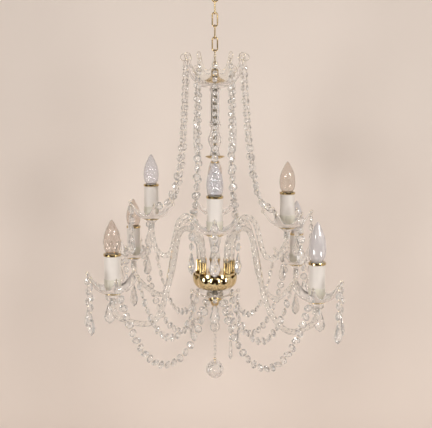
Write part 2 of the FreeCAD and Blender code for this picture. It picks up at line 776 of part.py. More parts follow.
finial_top_z = dish_low_z - seat_gap
finial_low_z = finial_top_z - finial_h
rod_low_z = finial_top_z - rod_in_finial
finial = lathe([(0, finial_top_z), (finial_r, finial_top_z), (finial_r, finial_top_z - 2.5),
                (finial_r * 0.8, finial_top_z - 4.5), (finial_r * 0.88, finial_top_z - 8),
                (finial_r * 0.88, finial_top_z - 10), (finial_r * 0.62, finial_top_z - 13),
                (finial_r * 0.5, finial_top_z - 19), (finial_tip_r, finial_low_z),
                (0, finial_low_z)])
finial = finial.cut(cylinder(rod_r + seat_gap, rod_low_z - overrun / 2, finial_top_z + overrun))
finial_loop_z = finial_low_z - finial_loop_r + 0.6
finial = finial.fuse(ring_solid(vec(0, 0, finial_loop_z), vec(0, 1, 0),
                                finial_loop_r, finial_wire_r))
keep("finial_cup", finial.removeSplitter())
rod = cylinder(rod_r, rod_low_z, rod_top_z)
keep("centre_rod", rod.cut(cylinder(rod_bore_r, rod_low_z - overrun, rod_top_z + overrun)))

# ------------------------------------------------------- one candle, ring at 0
sleeve_top = -ring_h / 2 - seat_gap
sleeve_low = sleeve_top - sleeve_length
sleeve_inner_r = sleeve_r - sleeve_wall
pan_top = sleeve_low - seat_gap + pan_cup_pocket - pan_cup_h
pan_middle = pan_top - pan_t / 2
gallery_top = pan_top - pan_t - seat_gap
gallery_low = gallery_top - gallery_t
arm_cup_top = gallery_low - gallery_cone_h
arm_cup_low = arm_cup_top - arm_cup_h
arm_end = arm_cup_low + arm_in_cup + 4.0

sleeve = lathe([(sleeve_inner_r, sleeve_low), (sleeve_r, sleeve_low),
                (sleeve_r, sleeve_top), (sleeve_inner_r, sleeve_top)])
shade_ring = lathe([(holder_r + seat_gap, -ring_h / 2), (ring_r - ring_edge, -ring_h / 2),
                    (ring_r, -ring_h / 4), (ring_r, ring_h / 4),
                    (ring_r - ring_edge, ring_h / 2), (holder_r + seat_gap, ring_h / 2)])
cup_inner_r = sleeve_r + pan_cup_play
cup_outer_r = cup_inner_r + pan_cup_wall
pan_cup = lathe([(stud_r + thread_play, pan_middle), (pan_cup_foot_r, pan_middle),
                 (pan_cup_foot_r, pan_top), (cup_outer_r, sleeve_low - overrun),
                 (cup_outer_r, pan_top + pan_cup_h), (cup_inner_r, pan_top + pan_cup_h),
                 (cup_inner_r, sleeve_low - seat_gap),
                 (stud_r + thread_play, sleeve_low - seat_gap)])
holder_top = holder_above
holder_low = holder_top - holder_length
stud_top = holder_low + holder_thread - 0.5
bore = bulb_cap_r + bulb_cap_play
bore_floor = holder_top - holder_bore_depth
holder = cylinder(holder_r, holder_low, holder_top)
holder = holder.cut(cylinder(bore, bore_floor, holder_top + overrun))
holder = holder.cut(cylinder(stud_r + seat_gap, holder_low - overrun,
                             holder_low + holder_thread))
pin_tip_r = bulb_cap_r + bayonet_pin_reach
slot_r = pin_tip_r + bayonet_play
slot_half = bayonet_pin_r + bayonet_play
slot_in_r = bore - overrun
slot_angle = degrees(slot_half / bulb_cap_r)
pin_z = holder_top - bayonet_depth
for side in (0, 180):
    groove = Part.Face(Part.makePolygon([vec(slot_in_r, 0, pin_z - slot_half),
                                         vec(slot_r, 0, pin_z - slot_half),
                                         vec(slot_r, 0, pin_z + slot_half),
                                         vec(slot_in_r, 0, pin_z + slot_half),
                                         vec(slot_in_r, 0, pin_z - slot_half)]))
    groove = groove.revolve(vec(0, 0, 0), vec(0, 0, 1), bayonet_turn + 2 * slot_angle)
    entry = Part.makeBox(slot_r - slot_in_r, 2 * slot_half, bayonet_depth + 2 * overrun,
                         vec(slot_in_r, -slot_half, pin_z - slot_half))
    holder = holder.cut([turned(groove, side - slot_angle), turned(entry, side + bayonet_turn)])
fitting = lathe([(0, stud_top), (stud_r, stud_top), (stud_r, gallery_top),
                 (gallery_r, gallery_top), (gallery_r, gallery_low + gallery_edge),
                 (gallery_r - gallery_edge, gallery_low), (ferrule_r + gallery_edge, arm_cup_top),
                 (ferrule_r, arm_cup_top - gallery_edge),
                 (ferrule_r, arm_cup_low + gallery_edge),
                 (ferrule_r + arm_cup_lip, arm_cup_low), (arm_r + socket_play, arm_cup_low),
                 (arm_r + socket_play, arm_end + seat_gap), (0, arm_end + seat_gap)])


def bulb(height):
    """Bayonet candle bulb: brass cap with two pins, and a hollow glass."""
    start = holder_top - bulb_cap_sunk
    cap_low = start - bulb_cap_h
    cap_inner_r = bulb_cap_r - bulb_cap_wall
    body = lathe([(0, cap_low), (bulb_cap_r - 2, cap_low), (bulb_cap_r, cap_low + 2),
                  (bulb_cap_r, start), (cap_inner_r, start),
                  (cap_inner_r, cap_low + bulb_cap_floor), (0, cap_low + bulb_cap_floor)])
    for side in (0, 180):
        inner = polar(cap_inner_r + bulb_cap_wall / 4, side + 90, pin_z)
        outer = polar(pin_tip_r, side + 90, pin_z)
        body = body.fuse(rod_between(inner, outer, bayonet_pin_r))
    outer = [vec(bulb_r * b, 0, start + pin_gap + (height - start) * a)
             for a, b in bulb_shares]
    inner = [vec(max(p.x - bulb_wall, 0), 0, p.z - (bulb_wall if k == len(outer) - 1 else 0))
             for k, p in enumerate(outer)]
    skin = Part.BSplineCurve()
    skin.interpolate(outer)
    lining = Part.BSplineCurve()
    lining.interpolate(inner)
    wire = Part.Wire([skin.toShape(), Part.makeLine(outer[-1], inner[-1]),
                      lining.toShape(), Part.makeLine(inner[0], outer[0])])
    glass = Part.Face(wire).revolve(vec(0, 0, 0), vec(0, 0, 1), 360)
    return [body, glass]


# ------------------------------------------------- arms, pans, candles in place
def arm_line(tier, reach, end_z):
    """Centre line of one glass arm as (reach, z), upright in socket and in cup."""
    start_z = plate_top_z + ferrule_floor + seat_gap + socket_play
    if tier == "lower":
        middle = [(arm_circle_r, start_z + 12), (arm_circle_r, start_z + 34),
                  (48, start_z + 76), (92, start_z + 103), (121, start_z + 56),
                  (147, start_z - 38), (178, start_z - 81), (216, end_z - 68),
                  (256, end_z - 52), (lower_reach - 6.5, end_z - 38),
                  (lower_reach - 0.5, end_z - 24), (lower_reach, end_z - 15),
                  (lower_reach, end_z - 7)]
    else:
        middle = [(arm_circle_r, start_z + 12), (arm_circle_r, start_z + 25),
                  (38.2, start_z + 50), (43, start_z + 88), (54, start_z + 112),
                  (70, start_z + 120), (85, start_z + 110), (95, start_z + 84),
                  (103, start_z + 52), (113, start_z + 32), (126, start_z + 27),
                  (139, start_z + 33), (150, start_z + 50), (upper_reach - 1.1, end_z - 27),
                  (upper_reach, end_z - 19), (upper_reach, end_z - 13),
                  (upper_reach, end_z - 6)]
    scale = (reach - arm_circle_r) / ((lower_reach if tier == "lower" else upper_reach)
                                      - arm_circle_r)
    line = [(arm_circle_r, start_z)]
    line += [(arm_circle_r + (r - arm_circle_r) * scale, z) for r, z in middle]
    line.append((reach, end_z))
    return line


def arm_solid(line):
    path = Part.BSplineCurve()
    path.interpolate([vec(0, -r, z) for r, z in line])
    start = Part.Wire([Part.makeCircle(arm_r, vec(0, -line[0][0], line[0][1]), vec(0, 0, 1))])
    return Part.Wire([path.toShape()]).makePipeShell([start], True, False)


ferrule = lathe([(0, plate_top_z + seat_gap), (ferrule_r, plate_top_z + seat_gap),
                 (ferrule_r, plate_top_z + ferrule_h - overrun),
                 (ferrule_r + ferrule_lip, plate_top_z + ferrule_h),
                 (arm_r + socket_play, plate_top_z + ferrule_h),
                 (arm_r + socket_play, plate_top_z + ferrule_floor + seat_gap),
                 (0, plate_top_z + ferrule_floor + seat_gap)])
ferrule = ferrule.fuse(cylinder(peg_r, plate_low_z + overrun / 2, plate_top_z + overrun))
ferrule = moved(ferrule.removeSplitter(), vec(0, -arm_circle_r, 0))

groups = {name: [] for name in (
    "arm_ferrules", "candle_fittings", "lampholders", "candle_tubes", "shade_rings",
    "strand_beads_small", "strand_beads_large", "prism_drops", "swag_beads",
    "upper_pendants", "lower_pendants", "dish_pendants")}
long_bulbs = ("lower_2", "lower_3")
pan_wide = pan_rim_r - pan_floor_r
candle_spots = {}

for tier, k, heading in headings:
    reach = lower_reach if tier == "lower" else upper_reach
    ring_z = lower_ring_z if tier == "lower" else upper_ring_z
    if tier == "upper" and k == 3:
        reach -= left_arm_short
    spot = polar(reach, heading, 0)
    ring_z -= tier_lean * spot.x
    place = vec(spot.x, spot.y, ring_z)
    name = f"{tier}_{k + 1}"
    candle_spots[name] = place

    line = arm_line(tier, reach, ring_z + arm_end)
    keep(f"{tier}_arm_{k + 1}", turned(arm_solid(line), heading))
    groups["arm_ferrules"].append(turned(ferrule, heading))
    groups["candle_fittings"].append(moved(turned(fitting, heading), place))
    groups["lampholders"].append(moved(turned(holder, heading), place))
    groups["candle_tubes"].append(moved(sleeve, place))
    groups["shade_rings"].append(moved(shade_ring, place))
    height = long_bulb_height if name in long_bulbs else swirl_bulb_height
    keep(f"{tier}_bulb_{k + 1}", [moved(turned(s, heading), place) for s in bulb(height)])

    pan = StarDish([(stud_r + thread_play, pan_middle), (pan_floor_r * 0.6, pan_middle),
                    (pan_floor_r, pan_middle + dish_heel),
                    *[(pan_floor_r + pan_wide * a, pan_middle + pan_rise * b)
                      for a, b in pan_shares],
                    (pan_rim_r, pan_middle + pan_rise)],
                   pan_t, pan_points, pan_scallop_r, 0.0, pan_cup)
    rings = {}
    for point in (0, 60, 120, 180, 240, 300):
        rings[point] = hang_ring(pan, place, heading, point)
    keep(f"{tier}_pan_{k + 1}", moved(turned(pan.solid(), heading), place))

    if tier == "upper":
        for point, from_turn in ((180, 0), (120, 30), (240, -30)):
            top_heading = upper_first_heading + 90 * k + from_turn
            top = hang_ring(top_dish, vec(0, 0, 0), 0, top_heading, False, None,
                            top_ring_r, top_hole_inset)
            rows = bead_row(top - top_ring_drop, rings[point] + slant_drop, strand_slack,
                            ((small_bead_w, small_pitch, small_share),
                             (large_bead_w, large_pitch, None)), top_heading,
                            strand_first_pin, strand_last_pin)
            groups["strand_beads_small"] += rows[0]
            groups["strand_beads_large"] += rows[1]
        for point in (0, 60, 300):
            groups["upper_pendants"] += straight_pendant(
                rings[point], heading + point, large_bead, large_bead_w, large_pitch,
                pendant_beads, pear_drop, strand_pins)
    else:
        side = 1 if k % 2 == 0 else -1
        for point, slack, dish_turn, scallop in ((60, outer_swag_slack, 22.5, True),
                                                 (120, inner_swag_slack, 0.0, False)):
            foot = hang_ring(lower_dish, vec(0, 0, 0), 0,
                             lower_first_heading + 90 * k + side * dish_turn, scallop)
            start = rings[(side * point) % 360] - ring_drop
            rows = bead_row(start, foot - slant_drop, slack,
                            ((large_bead_w, large_pitch, None),),
                            heading + side * point, swag_first_pin, 0.0)
            groups["swag_beads"] += rows[0]
        for point, count in ((0, pendant_beads), (-side * 60, pendant_beads),
                             (-side * 120, pendant_beads), (180, inner_pendant_beads)):
            groups["lower_pendants"] += straight_pendant(
                rings[point % 360], heading + point, large_bead, large_bead_w, large_pitch,
                count, pear_drop, strand_pins)

for heading in (45, 135, 225, 315):
    top = hang_ring(top_dish, vec(0, 0, 0), 0, heading, True, None,
                    top_ring_r, top_hole_inset)
    groups["prism_drops"] += straight_pendant(top, heading, small_bead, small_bead_w,
                                              small_pitch, prism_beads, prism_drop, strand_pins,
                                              top_ring_r, prism_first_pin)
for heading, count in ((90, right_pendant_beads), (180, dish_pendant_beads),
                       (270, dish_pendant_beads)):
    top = hang_ring(lower_dish, vec(0, 0, 0), 0, heading)
    groups["dish_pendants"] += straight_pendant(top, heading, large_bead, large_bead_w,
                                                large_pitch, count, pear_drop, strand_pins)
top = hang_ring(lower_dish, vec(0, 0, 0), 0, long_drop_heading, True)
groups["dish_pendants"] += straight_pendant(top, long_drop_heading, small_bead, small_bead_w,
                                            small_pitch, long_drop_beads, arrow_drop,
                                            strand_pins)

# ------------------------------------------- drop, strand and ball that swing
own = []
front_top = hang_ring(lower_dish, vec(0, 0, 0), 0, 0, False, own)
front_solids = straight_pendant(front_top, 0, small_bead, small_bead_w, small_pitch,
                                front_drop_beads, pear_drop, own)
keep("front_drop", front_solids + own)

finial_wire_z = finial_loop_z - finial_loop_r
eye_z = finial_wire_z + finial_wire_r + hang_gap + eye_wire_r - eye_r
strand = [ring_solid(vec(0, 0, eye_z), vec(1, 0, 0), eye_r, eye_wire_r)]
tiny_half = tiny_bead_w / 2
tiny_bead = faceted([(-tiny_half, tiny_table_r), (-tiny_half * 0.55, tiny_half * 0.85),
                     (0, tiny_half), (tiny_half * 0.55, tiny_half * 0.85),
                     (tiny_half, tiny_table_r)], 8)
wire_top = eye_z - eye_r - eye_wire_r - pin_gap
first_bead_z = wire_top - tiny_pitch * 0.5
last_bead_z = first_bead_z - tiny_pitch * (ball_beads - 1)
for k in range(ball_beads):
    z = first_bead_z - tiny_pitch * k
    strand.append(moved(tiny_bead, vec(0, 0, z)))
    above = wire_top if k == 0 else z + tiny_pitch - tiny_half - pin_gap
    strand.append(rod_between(vec(0, 0, above), vec(0, 0, z + tiny_half + pin_gap),
                              strand_wire_r))
low_eye_z = last_bead_z - tiny_half - 2 * pin_gap - eye_r - eye_wire_r
strand.append(ring_solid(vec(0, 0, low_eye_z), vec(1, 0, 0), eye_r, eye_wire_r))
keep("ball_strand", strand)

low_wire_z = low_eye_z - eye_r
ball_eye_z = low_wire_z + eye_wire_r + hang_gap + eye_wire_r - eye_r
ball_top_z = ball_eye_z - eye_r - eye_wire_r - eye_above_ball
ball_rings = []
for k in range(ball_rows + 1):
    angle = pi * k / ball_rows
    size = 0.0 if k in (0, ball_rows) else ball_r * sin(angle)
    ball_rings.append((-ball_r * cos(angle), size))
crystal_ball = moved(faceted(ball_rings, ball_sides), vec(0, 0, ball_top_z - ball_r))
ball_post = cylinder(post_r, ball_top_z - post_depth, ball_eye_z - eye_r)
ball_eye = ring_solid(vec(0, 0, ball_eye_z), vec(0, 1, 0), eye_r, eye_wire_r)
crystal_ball = crystal_ball.cut(cylinder(post_r + seat_gap, ball_top_z - post_depth - seat_gap,
                                         ball_top_z + overrun))
keep("ball", [crystal_ball, ball_eye.fuse(ball_post).removeSplitter()])

keep("top_dish", top_dish.solid())
keep("lower_dish", lower_dish.solid())
for name, solids in groups.items():
    keep(name, solids)
keep("strand_pins", strand_pins)
keep("jump_rings", jump_rings)

for name, shape in parts.items():
    shape.exportStep(f"parts/{name}.step")

print("pieces filed:", len(parts))
for name in ("ceiling_hook", "chain_link_1", "lower_arm_1", "top_dish", "lower_pan_1",
             "lampholders", "ball", "lower_dish", "receiver_bowl"):
    shape = parts[name]
    print(name, "valid", shape.isValid(), "volume", round(shape.Volume, 1),
          "solids", len(shape.Solids))
print("chain pivots", [round(z, 2) for z in chain_pivots])
print("front drop pivot", [round(c, 3) for c in front_top])
print("strand pivot", round(finial_wire_z, 3), "ball pivot", round(low_wire_z, 3))
print("plate top", round(plate_top_z, 2), "bowl rim", round(bowl_rim_z, 2),
      "bowl low", round(bowl_low_z, 2), "finial low", round(finial_low_z, 2),
      "ball low", round(ball_top_z - 2 * ball_r, 2))
for name, place in candle_spots.items():
    print(name, [round(c, 3) for c in place])
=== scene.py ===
# %% [markdown]
# # A crystal chandelier
# This lesson dresses a chandelier whose parts already have their exact size.
# The frame holds every piece where it is screwed, hooked or cemented, so here
# we only make surfaces: ribbed glass, twisted arms, bulbs, brass and crystal.

# %% Load the lamp's frame
from math import cos, hypot, pi, radians, sin, sqrt

import bpy
import numpy as np
from mathutils import Matrix, Vector


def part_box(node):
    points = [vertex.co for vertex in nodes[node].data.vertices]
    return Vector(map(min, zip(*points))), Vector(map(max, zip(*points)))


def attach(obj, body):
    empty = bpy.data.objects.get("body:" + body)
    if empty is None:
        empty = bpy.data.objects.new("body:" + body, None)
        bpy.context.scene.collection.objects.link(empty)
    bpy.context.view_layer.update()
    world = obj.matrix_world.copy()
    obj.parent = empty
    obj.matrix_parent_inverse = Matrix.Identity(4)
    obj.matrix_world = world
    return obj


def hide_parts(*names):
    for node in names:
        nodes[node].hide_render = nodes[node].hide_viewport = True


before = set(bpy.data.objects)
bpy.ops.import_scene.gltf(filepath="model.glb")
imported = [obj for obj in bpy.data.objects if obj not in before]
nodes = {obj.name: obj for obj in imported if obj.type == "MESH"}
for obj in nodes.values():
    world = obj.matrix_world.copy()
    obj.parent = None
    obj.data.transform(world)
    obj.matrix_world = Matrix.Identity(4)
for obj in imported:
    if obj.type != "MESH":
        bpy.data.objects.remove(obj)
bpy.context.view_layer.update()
print("pieces in the frame:", len(nodes))

# %% [markdown]
# The lamp was measured in millimetres and Blender counts in metres, so lengths
# are written in millimetres and turned once. A heading of 0 looks at us, along
# -Y, and 90 points along +X. Each arm keeps one heading and one height.

# %% Measures shared by many pieces
MM = 0.001
scene = bpy.context.scene


def polar(reach, heading, z=0.0):
    turn = radians(heading)
    return Vector((reach * sin(turn), -reach * cos(turn), z))


def low_high(node):
    """Lowest and highest corner of a node, in millimetres."""
    low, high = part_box(node)
    return low / MM, high / MM


tier_reach = {"lower": 282.0, "upper": 158.0}
tier_heading = {"lower": -45.0, "upper": 0.0}
ring_height = {"lower": -563.0, "upper": -446.0}
tier_lean = 0.043         # how much lower the rings stand towards +X
left_arm_turn = -20.0     # the left upper arm is swung back
left_arm_short = 6.0      # and comes less far out

candles = {}
for tier, reach in tier_reach.items():
    for k in range(4):
        heading = tier_heading[tier] + 90 * k
        out = reach
        if tier == "upper" and k == 3:
            heading += left_arm_turn
            out -= left_arm_short
        spot = polar(out, heading)
        candles[f"{tier}_{k + 1}"] = (heading, out, spot.x, spot.y,
                                      ring_height[tier] - tier_lean * spot.x)
print("candles:", {name: round(c[4]) for name, c in candles.items()})

# %% [markdown]
# Every material here wants small changes over its surface. A shader node group
# is made once, like a tool, and each material sets its own numbers on it.
# "uneven" gives a slow noise for roughness and colour, and a bump normal.

# %% The shared unevenness group
def group_socket(tree, name, way, kind="NodeSocketFloat", value=None):
    socket = tree.interface.new_socket(name=name, in_out=way, socket_type=kind)
    if value is not None:
        socket.default_value = value
    return socket


uneven = bpy.data.node_groups.new("uneven_surface", "ShaderNodeTree")
group_socket(uneven, "Size", "INPUT", value=20.0)
group_socket(uneven, "Low", "INPUT", value=0.1)
group_socket(uneven, "High", "INPUT", value=0.3)
group_socket(uneven, "Bump", "INPUT", value=0.1)
group_socket(uneven, "Roughness", "OUTPUT")
group_socket(uneven, "Mask", "OUTPUT")
group_socket(uneven, "Normal", "OUTPUT", "NodeSocketVector")
u_in = uneven.nodes.new("NodeGroupInput")
u_out = uneven.nodes.new("NodeGroupOutput")
u_place = uneven.nodes.new("ShaderNodeTexCoord")
u_noise = uneven.nodes.new("ShaderNodeTexNoise")
u_noise.inputs["Detail"].default_value = 3.0
u_range = uneven.nodes.new("ShaderNodeMapRange")
u_range.inputs["From Min"].default_value = 0.3
u_range.inputs["From Max"].default_value = 0.7
u_bump = uneven.nodes.new("ShaderNodeBump")
u_bump.inputs["Distance"].default_value = 0.0005
for a, b in ((u_place.outputs["Object"], u_noise.inputs["Vector"]),
             (u_in.outputs["Size"], u_noise.inputs["Scale"]),
             (u_noise.outputs["Fac"], u_range.inputs["Value"]),
             (u_in.outputs["Low"], u_range.inputs["To Min"]),
             (u_in.outputs["High"], u_range.inputs["To Max"]),
             (u_range.outputs[0], u_out.inputs["Roughness"]),
             (u_noise.outputs["Fac"], u_out.inputs["Mask"]),
             (u_noise.outputs["Fac"], u_bump.inputs["Height"]),
             (u_in.outputs["Bump"], u_bump.inputs["Strength"]),
             (u_bump.outputs[0], u_out.inputs["Normal"])):
    uneven.links.new(a, b)
print("group ready:", uneven.name)

# %% [markdown]
# A material is then a Principled BSDF and one copy of the group. Metal and
# transmission are plain numbers on the shader. The colour runs between two
# near shades along the same noise, because no real surface is one flat tone.

# %% A helper that makes one finish
def srgb(r, g, b):
    """Linear colour from the 0-255 values of a screen."""
    parts = [v / 255 for v in (r, g, b)]
    return tuple(v / 12.92 if v <= 0.04045 else ((v + 0.055) / 1.055) ** 2.4
                 for v in parts) + (1.0,)


def finish_of(name, shade_a, shade_b, size, low, high, bump, **plain):
    material = bpy.data.materials.new(name)
    material.use_nodes = True
    tree = material.node_tree
    shader = tree.nodes["Principled BSDF"]
    skin = tree.nodes.new("ShaderNodeGroup")
    skin.node_tree = uneven
    for key, value in (("Size", size), ("Low", low), ("High", high), ("Bump", bump)):
        skin.inputs[key].default_value = value
    tint = tree.nodes.new("ShaderNodeMix")
    tint.data_type = "RGBA"
    tint.inputs["A"].default_value = shade_a
    tint.inputs["B"].default_value = shade_b
    tree.links.new(skin.outputs["Mask"], tint.inputs["Factor"])
    tree.links.new(tint.outputs["Result"], shader.inputs["Base Color"])
    tree.links.new(skin.outputs["Roughness"], shader.inputs["Roughness"])
    tree.links.new(skin.outputs["Normal"], shader.inputs["Normal"])
    for key, value in plain.items():
        shader.inputs[key.replace("_", " ")].default_value = value
    return material


# %% [markdown]
# Polished brass is never evenly bright: fingers and air leave warm, duller
# patches. Two brass tones and a roughness from 0.03 to 0.12 do that. The cap,
# saucer, ferrules and shade rings are of a deeper brass. The rod and the chain
# have gone dull in the air, and the pins are thin, so their brass is greyer and
# rougher.

# %% Brass finishes
brass = finish_of("polished_brass", srgb(240, 224, 184), srgb(218, 196, 146),
                  38.0, 0.03, 0.12, 0.10, Metallic=1.0)
old_brass = finish_of("aged_brass", srgb(150, 136, 112), srgb(104, 92, 72),
                      60.0, 0.22, 0.42, 0.25, Metallic=1.0)
pin_brass = finish_of("pin_brass", srgb(222, 212, 190), srgb(190, 178, 150),
                      80.0, 0.12, 0.3, 0.1, Metallic=1.0)
chain_brass = finish_of("chain_brass", srgb(226, 204, 156), srgb(170, 142, 96),
                        70.0, 0.10, 0.28, 0.15, Metallic=1.0)
deep_brass = finish_of("deep_brass", srgb(228, 206, 156), srgb(180, 154, 106),
                       46.0, 0.05, 0.16, 0.12, Metallic=1.0)
print("brass:", brass.name, old_brass.name, deep_brass.name)

# %% [markdown]
# Two kinds of glass hang here. Moulded glass, in arms and pans, is slightly
# wavy. Cut crystal is flat, polished and bends light a little more, which its
# index of refraction says. Both keep a plain transmission under 1: the rest is
# white, for dust and fine scratches. Bulbs are tinted, and two are milky.

# %% Glass finishes
moulded_glass = finish_of("moulded_glass", srgb(255, 253, 250), srgb(250, 248, 244),
                          90.0, 0.005, 0.05, 0.5, Transmission_Weight=0.87, IOR=1.46)
stem_glass = finish_of("stem_glass", srgb(255, 254, 252), srgb(251, 250, 248),
                       30.0, 0.0, 0.03, 0.03, Transmission_Weight=0.97, IOR=1.42)
thin_glass = finish_of("thin_glass", srgb(255, 254, 252), srgb(251, 250, 247),
                       60.0, 0.0, 0.04, 0.08, Transmission_Weight=0.96, IOR=1.22)
cut_crystal = finish_of("cut_crystal", srgb(255, 253, 250), srgb(250, 248, 246),
                        140.0, 0.0, 0.03, 0.05, Transmission_Weight=0.86, IOR=1.5)
clear_bulb = finish_of("clear_bulb_glass", srgb(244, 238, 233), srgb(239, 232, 226),
                       30.0, 0.01, 0.04, 0.05, Transmission_Weight=0.95, IOR=1.5)
brown_bulb = finish_of("brown_bulb_glass", srgb(246, 240, 235), srgb(242, 236, 229),
                       30.0, 0.01, 0.04, 0.05, Transmission_Weight=0.95, IOR=1.5)
frost_bulb = finish_of("cool_bulb_glass", srgb(249, 249, 252), srgb(244, 245, 250),
                       30.0, 0.02, 0.08, 0.1, Transmission_Weight=0.93, IOR=1.4,
                       Coat_Weight=0.8, Coat_Roughness=0.03)
pearl_bulb = finish_of("pearl_bulb_glass", srgb(246, 240, 238), srgb(240, 233, 232),
                       22.0, 0.04, 0.12, 0.05, Transmission_Weight=0.5, IOR=1.5,
                       Coat_Weight=0.9, Coat_Roughness=0.02)
cup_glass = finish_of("warm_cup_glass", srgb(246, 240, 226), srgb(240, 232, 212),
                      120.0, 0.05, 0.12, 0.3, Transmission_Weight=0.3, IOR=1.5,
                      Coat_Weight=0.5, Coat_Roughness=0.05)
print("glasses:", moulded_glass.name, cut_crystal.name, clear_bulb.name)

# %% [markdown]
# Each crystal is ground into more small facets than its solid has. Another
# group gives them: Voronoi cells of about 4 mm, each with a random colour that
# leans the surface's own normal a little its own way, so each cell sparkles by
# itself.

# %% Small facets on the crystals
facets = bpy.data.node_groups.new("ground_facets", "ShaderNodeTree")
group_socket(facets, "Size", "INPUT", value=250.0)
group_socket(facets, "Lean", "INPUT", value=0.5)
group_socket(facets, "Normal", "OUTPUT", "NodeSocketVector")
f_in = facets.nodes.new("NodeGroupInput")
f_out = facets.nodes.new("NodeGroupOutput")
f_place = facets.nodes.new("ShaderNodeTexCoord")
f_face = facets.nodes.new("ShaderNodeNewGeometry")
f_cells = facets.nodes.new("ShaderNodeTexVoronoi")
f_centre = facets.nodes.new("ShaderNodeVectorMath")
f_centre.operation = "SUBTRACT"
f_centre.inputs[1].default_value = (0.5, 0.5, 0.5)
f_lean = facets.nodes.new("ShaderNodeVectorMath")
f_lean.operation = "SCALE"
f_add = facets.nodes.new("ShaderNodeVectorMath")
f_unit = facets.nodes.new("ShaderNodeVectorMath")
f_unit.operation = "NORMALIZE"
for a, b in ((f_place.outputs["Object"], f_cells.inputs["Vector"]),
             (f_in.outputs["Size"], f_cells.inputs["Scale"]),
             (f_cells.outputs["Color"], f_centre.inputs[0]),
             (f_centre.outputs[0], f_lean.inputs[0]),
             (f_in.outputs["Lean"], f_lean.inputs["Scale"]),
             (f_face.outputs["Normal"], f_add.inputs[0]),
             (f_lean.outputs[0], f_add.inputs[1]),
             (f_add.outputs[0], f_unit.inputs[0]),
             (f_unit.outputs[0], f_out.inputs["Normal"])):
    facets.links.new(a, b)
cut_tree = cut_crystal.node_tree
ground = cut_tree.nodes.new("ShaderNodeGroup")
ground.node_tree = facets
cut_tree.links.new(ground.outputs["Normal"],
                   cut_tree.nodes["Principled BSDF"].inputs["Normal"])
print("group ready:", facets.name)

# %% [markdown]
# The candle sleeves are satin white card or plastic, a touch uneven in tone.
# The lampholder inside is a plainer moulded plastic.

# %% White finishes
sleeve_white = finish_of("sleeve_white", srgb(224, 216, 208), srgb(218, 209, 200),
                         26.0, 0.45, 0.6, 0.05)
holder_white = finish_of("holder_white", srgb(228, 226, 220), srgb(214, 211, 203),
                         40.0, 0.4, 0.6, 0.1)


# %% [markdown]
# Most pieces are turned, but the real ones are ribbed or lobed. A ring of
# points whose radius changes with the angle gives both: the profile says how
# far out each height is, and a small wave round the ring cuts the ribs.

# %% Turned and ribbed surfaces
def smooth_line(points, samples):
    """Smooth curve through points, as a natural cubic along their distance."""
    p = np.array(points, float)
    step = np.linalg.norm(np.diff(p, axis=0), axis=1)
    t = np.concatenate([[0.0], np.cumsum(step)])
    n = len(p)
    a = np.zeros((n, n))
    b = np.zeros_like(p)
    a[0, 0] = a[-1, -1] = 1.0
    for i in range(1, n - 1):
        a[i, i - 1:i + 2] = (step[i - 1], 2 * (step[i - 1] + step[i]), step[i])
        b[i] = 6 * ((p[i + 1] - p[i]) / step[i] - (p[i] - p[i - 1]) / step[i - 1])
    bend = np.linalg.solve(a, b)
    out = []
    for s in np.linspace(0, t[-1], samples):
        i = min(max(int(np.searchsorted(t, s)) - 1, 0), n - 2)
        u, v, h = t[i + 1] - s, s - t[i], step[i]
        out.append(bend[i] * u ** 3 / (6 * h) + bend[i + 1] * v ** 3 / (6 * h)
                   + (p[i] / h - bend[i] * h / 6) * u + (p[i + 1] / h - bend[i + 1] * h / 6) * v)
    return np.array(out)


def ring_mesh(name, rings, closed_path=False):
    """Mesh from rings of equal counts of points, in millimetres."""
    rings = np.array(rings, float) * MM
    count, around = rings.shape[:2]
    faces = []
    for i in range(count if closed_path else count - 1):
        j = (i + 1) % count
        for k in range(around):
            m = (k + 1) % around
            faces.append((i * around + k, i * around + m, j * around + m, j * around + k))
    if not closed_path:
        faces.append(tuple(range(around))[::-1])
        faces.append(tuple((count - 1) * around + k for k in range(around)))
    mesh = bpy.data.meshes.new(name)
    mesh.from_pydata([tuple(v) for v in rings.reshape(-1, 3)], [], faces)
    mesh.update()
    mesh.polygons.foreach_set("use_smooth", [len(p.vertices) < 5 for p in mesh.polygons])
    return mesh


def turned_mesh(name, profile, around=96, wave=None):
    """Rings round Z through (r, z); wave(angle, r, z) scales the radius."""
    rings = []
    for r, z in profile:
        ring = []
        for k in range(around):
            angle = 2 * pi * k / around
            reach = r * (wave(angle, r, z) if wave else 1.0)
            ring.append((reach * sin(angle), -reach * cos(angle), z))
        rings.append(ring)
    return ring_mesh(name, rings, closed_path=True)


def put(name, mesh, material, body, node, at=(0, 0, 0), turn=0.0):
    """Place a finished mesh in the lamp, in millimetres, on its body, and hide the frame's node that it
    replaces, if one is given.
    """
    if turn:
        mesh = mesh.copy()
        mesh.transform(Matrix.Rotation(radians(turn), 4, "Z"))
    if not mesh.materials:
        mesh.materials.append(material)
    piece = bpy.data.objects.new(name, mesh)
    scene.collection.objects.link(piece)
    piece.location = Vector(at) * MM
    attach(piece, body)
    if node:
        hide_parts(node)


# %% [markdown]
# ## The stem
# The stem is a stack of glass pieces threaded on a brass rod: a ribbed tube,
# a baluster and a long vase. Flat ribs like these are cut on a wheel, so the
# wave is a row of shallow hollows. The ends stay round where they are seated.

# %% Ribbed glass of the stem
def ribs(count, depth, low, high):
    """Hollows round a turned piece that fade out at its two ends."""
    def wave(angle, r, z):
        share = min(max((z - low) / (high - low), 0.0), 1.0)
        fade = min(share, 1 - share) * 6
        return 1 - depth * min(fade, 1.0) * (0.5 + 0.5 * cos(count * angle))
    return wave


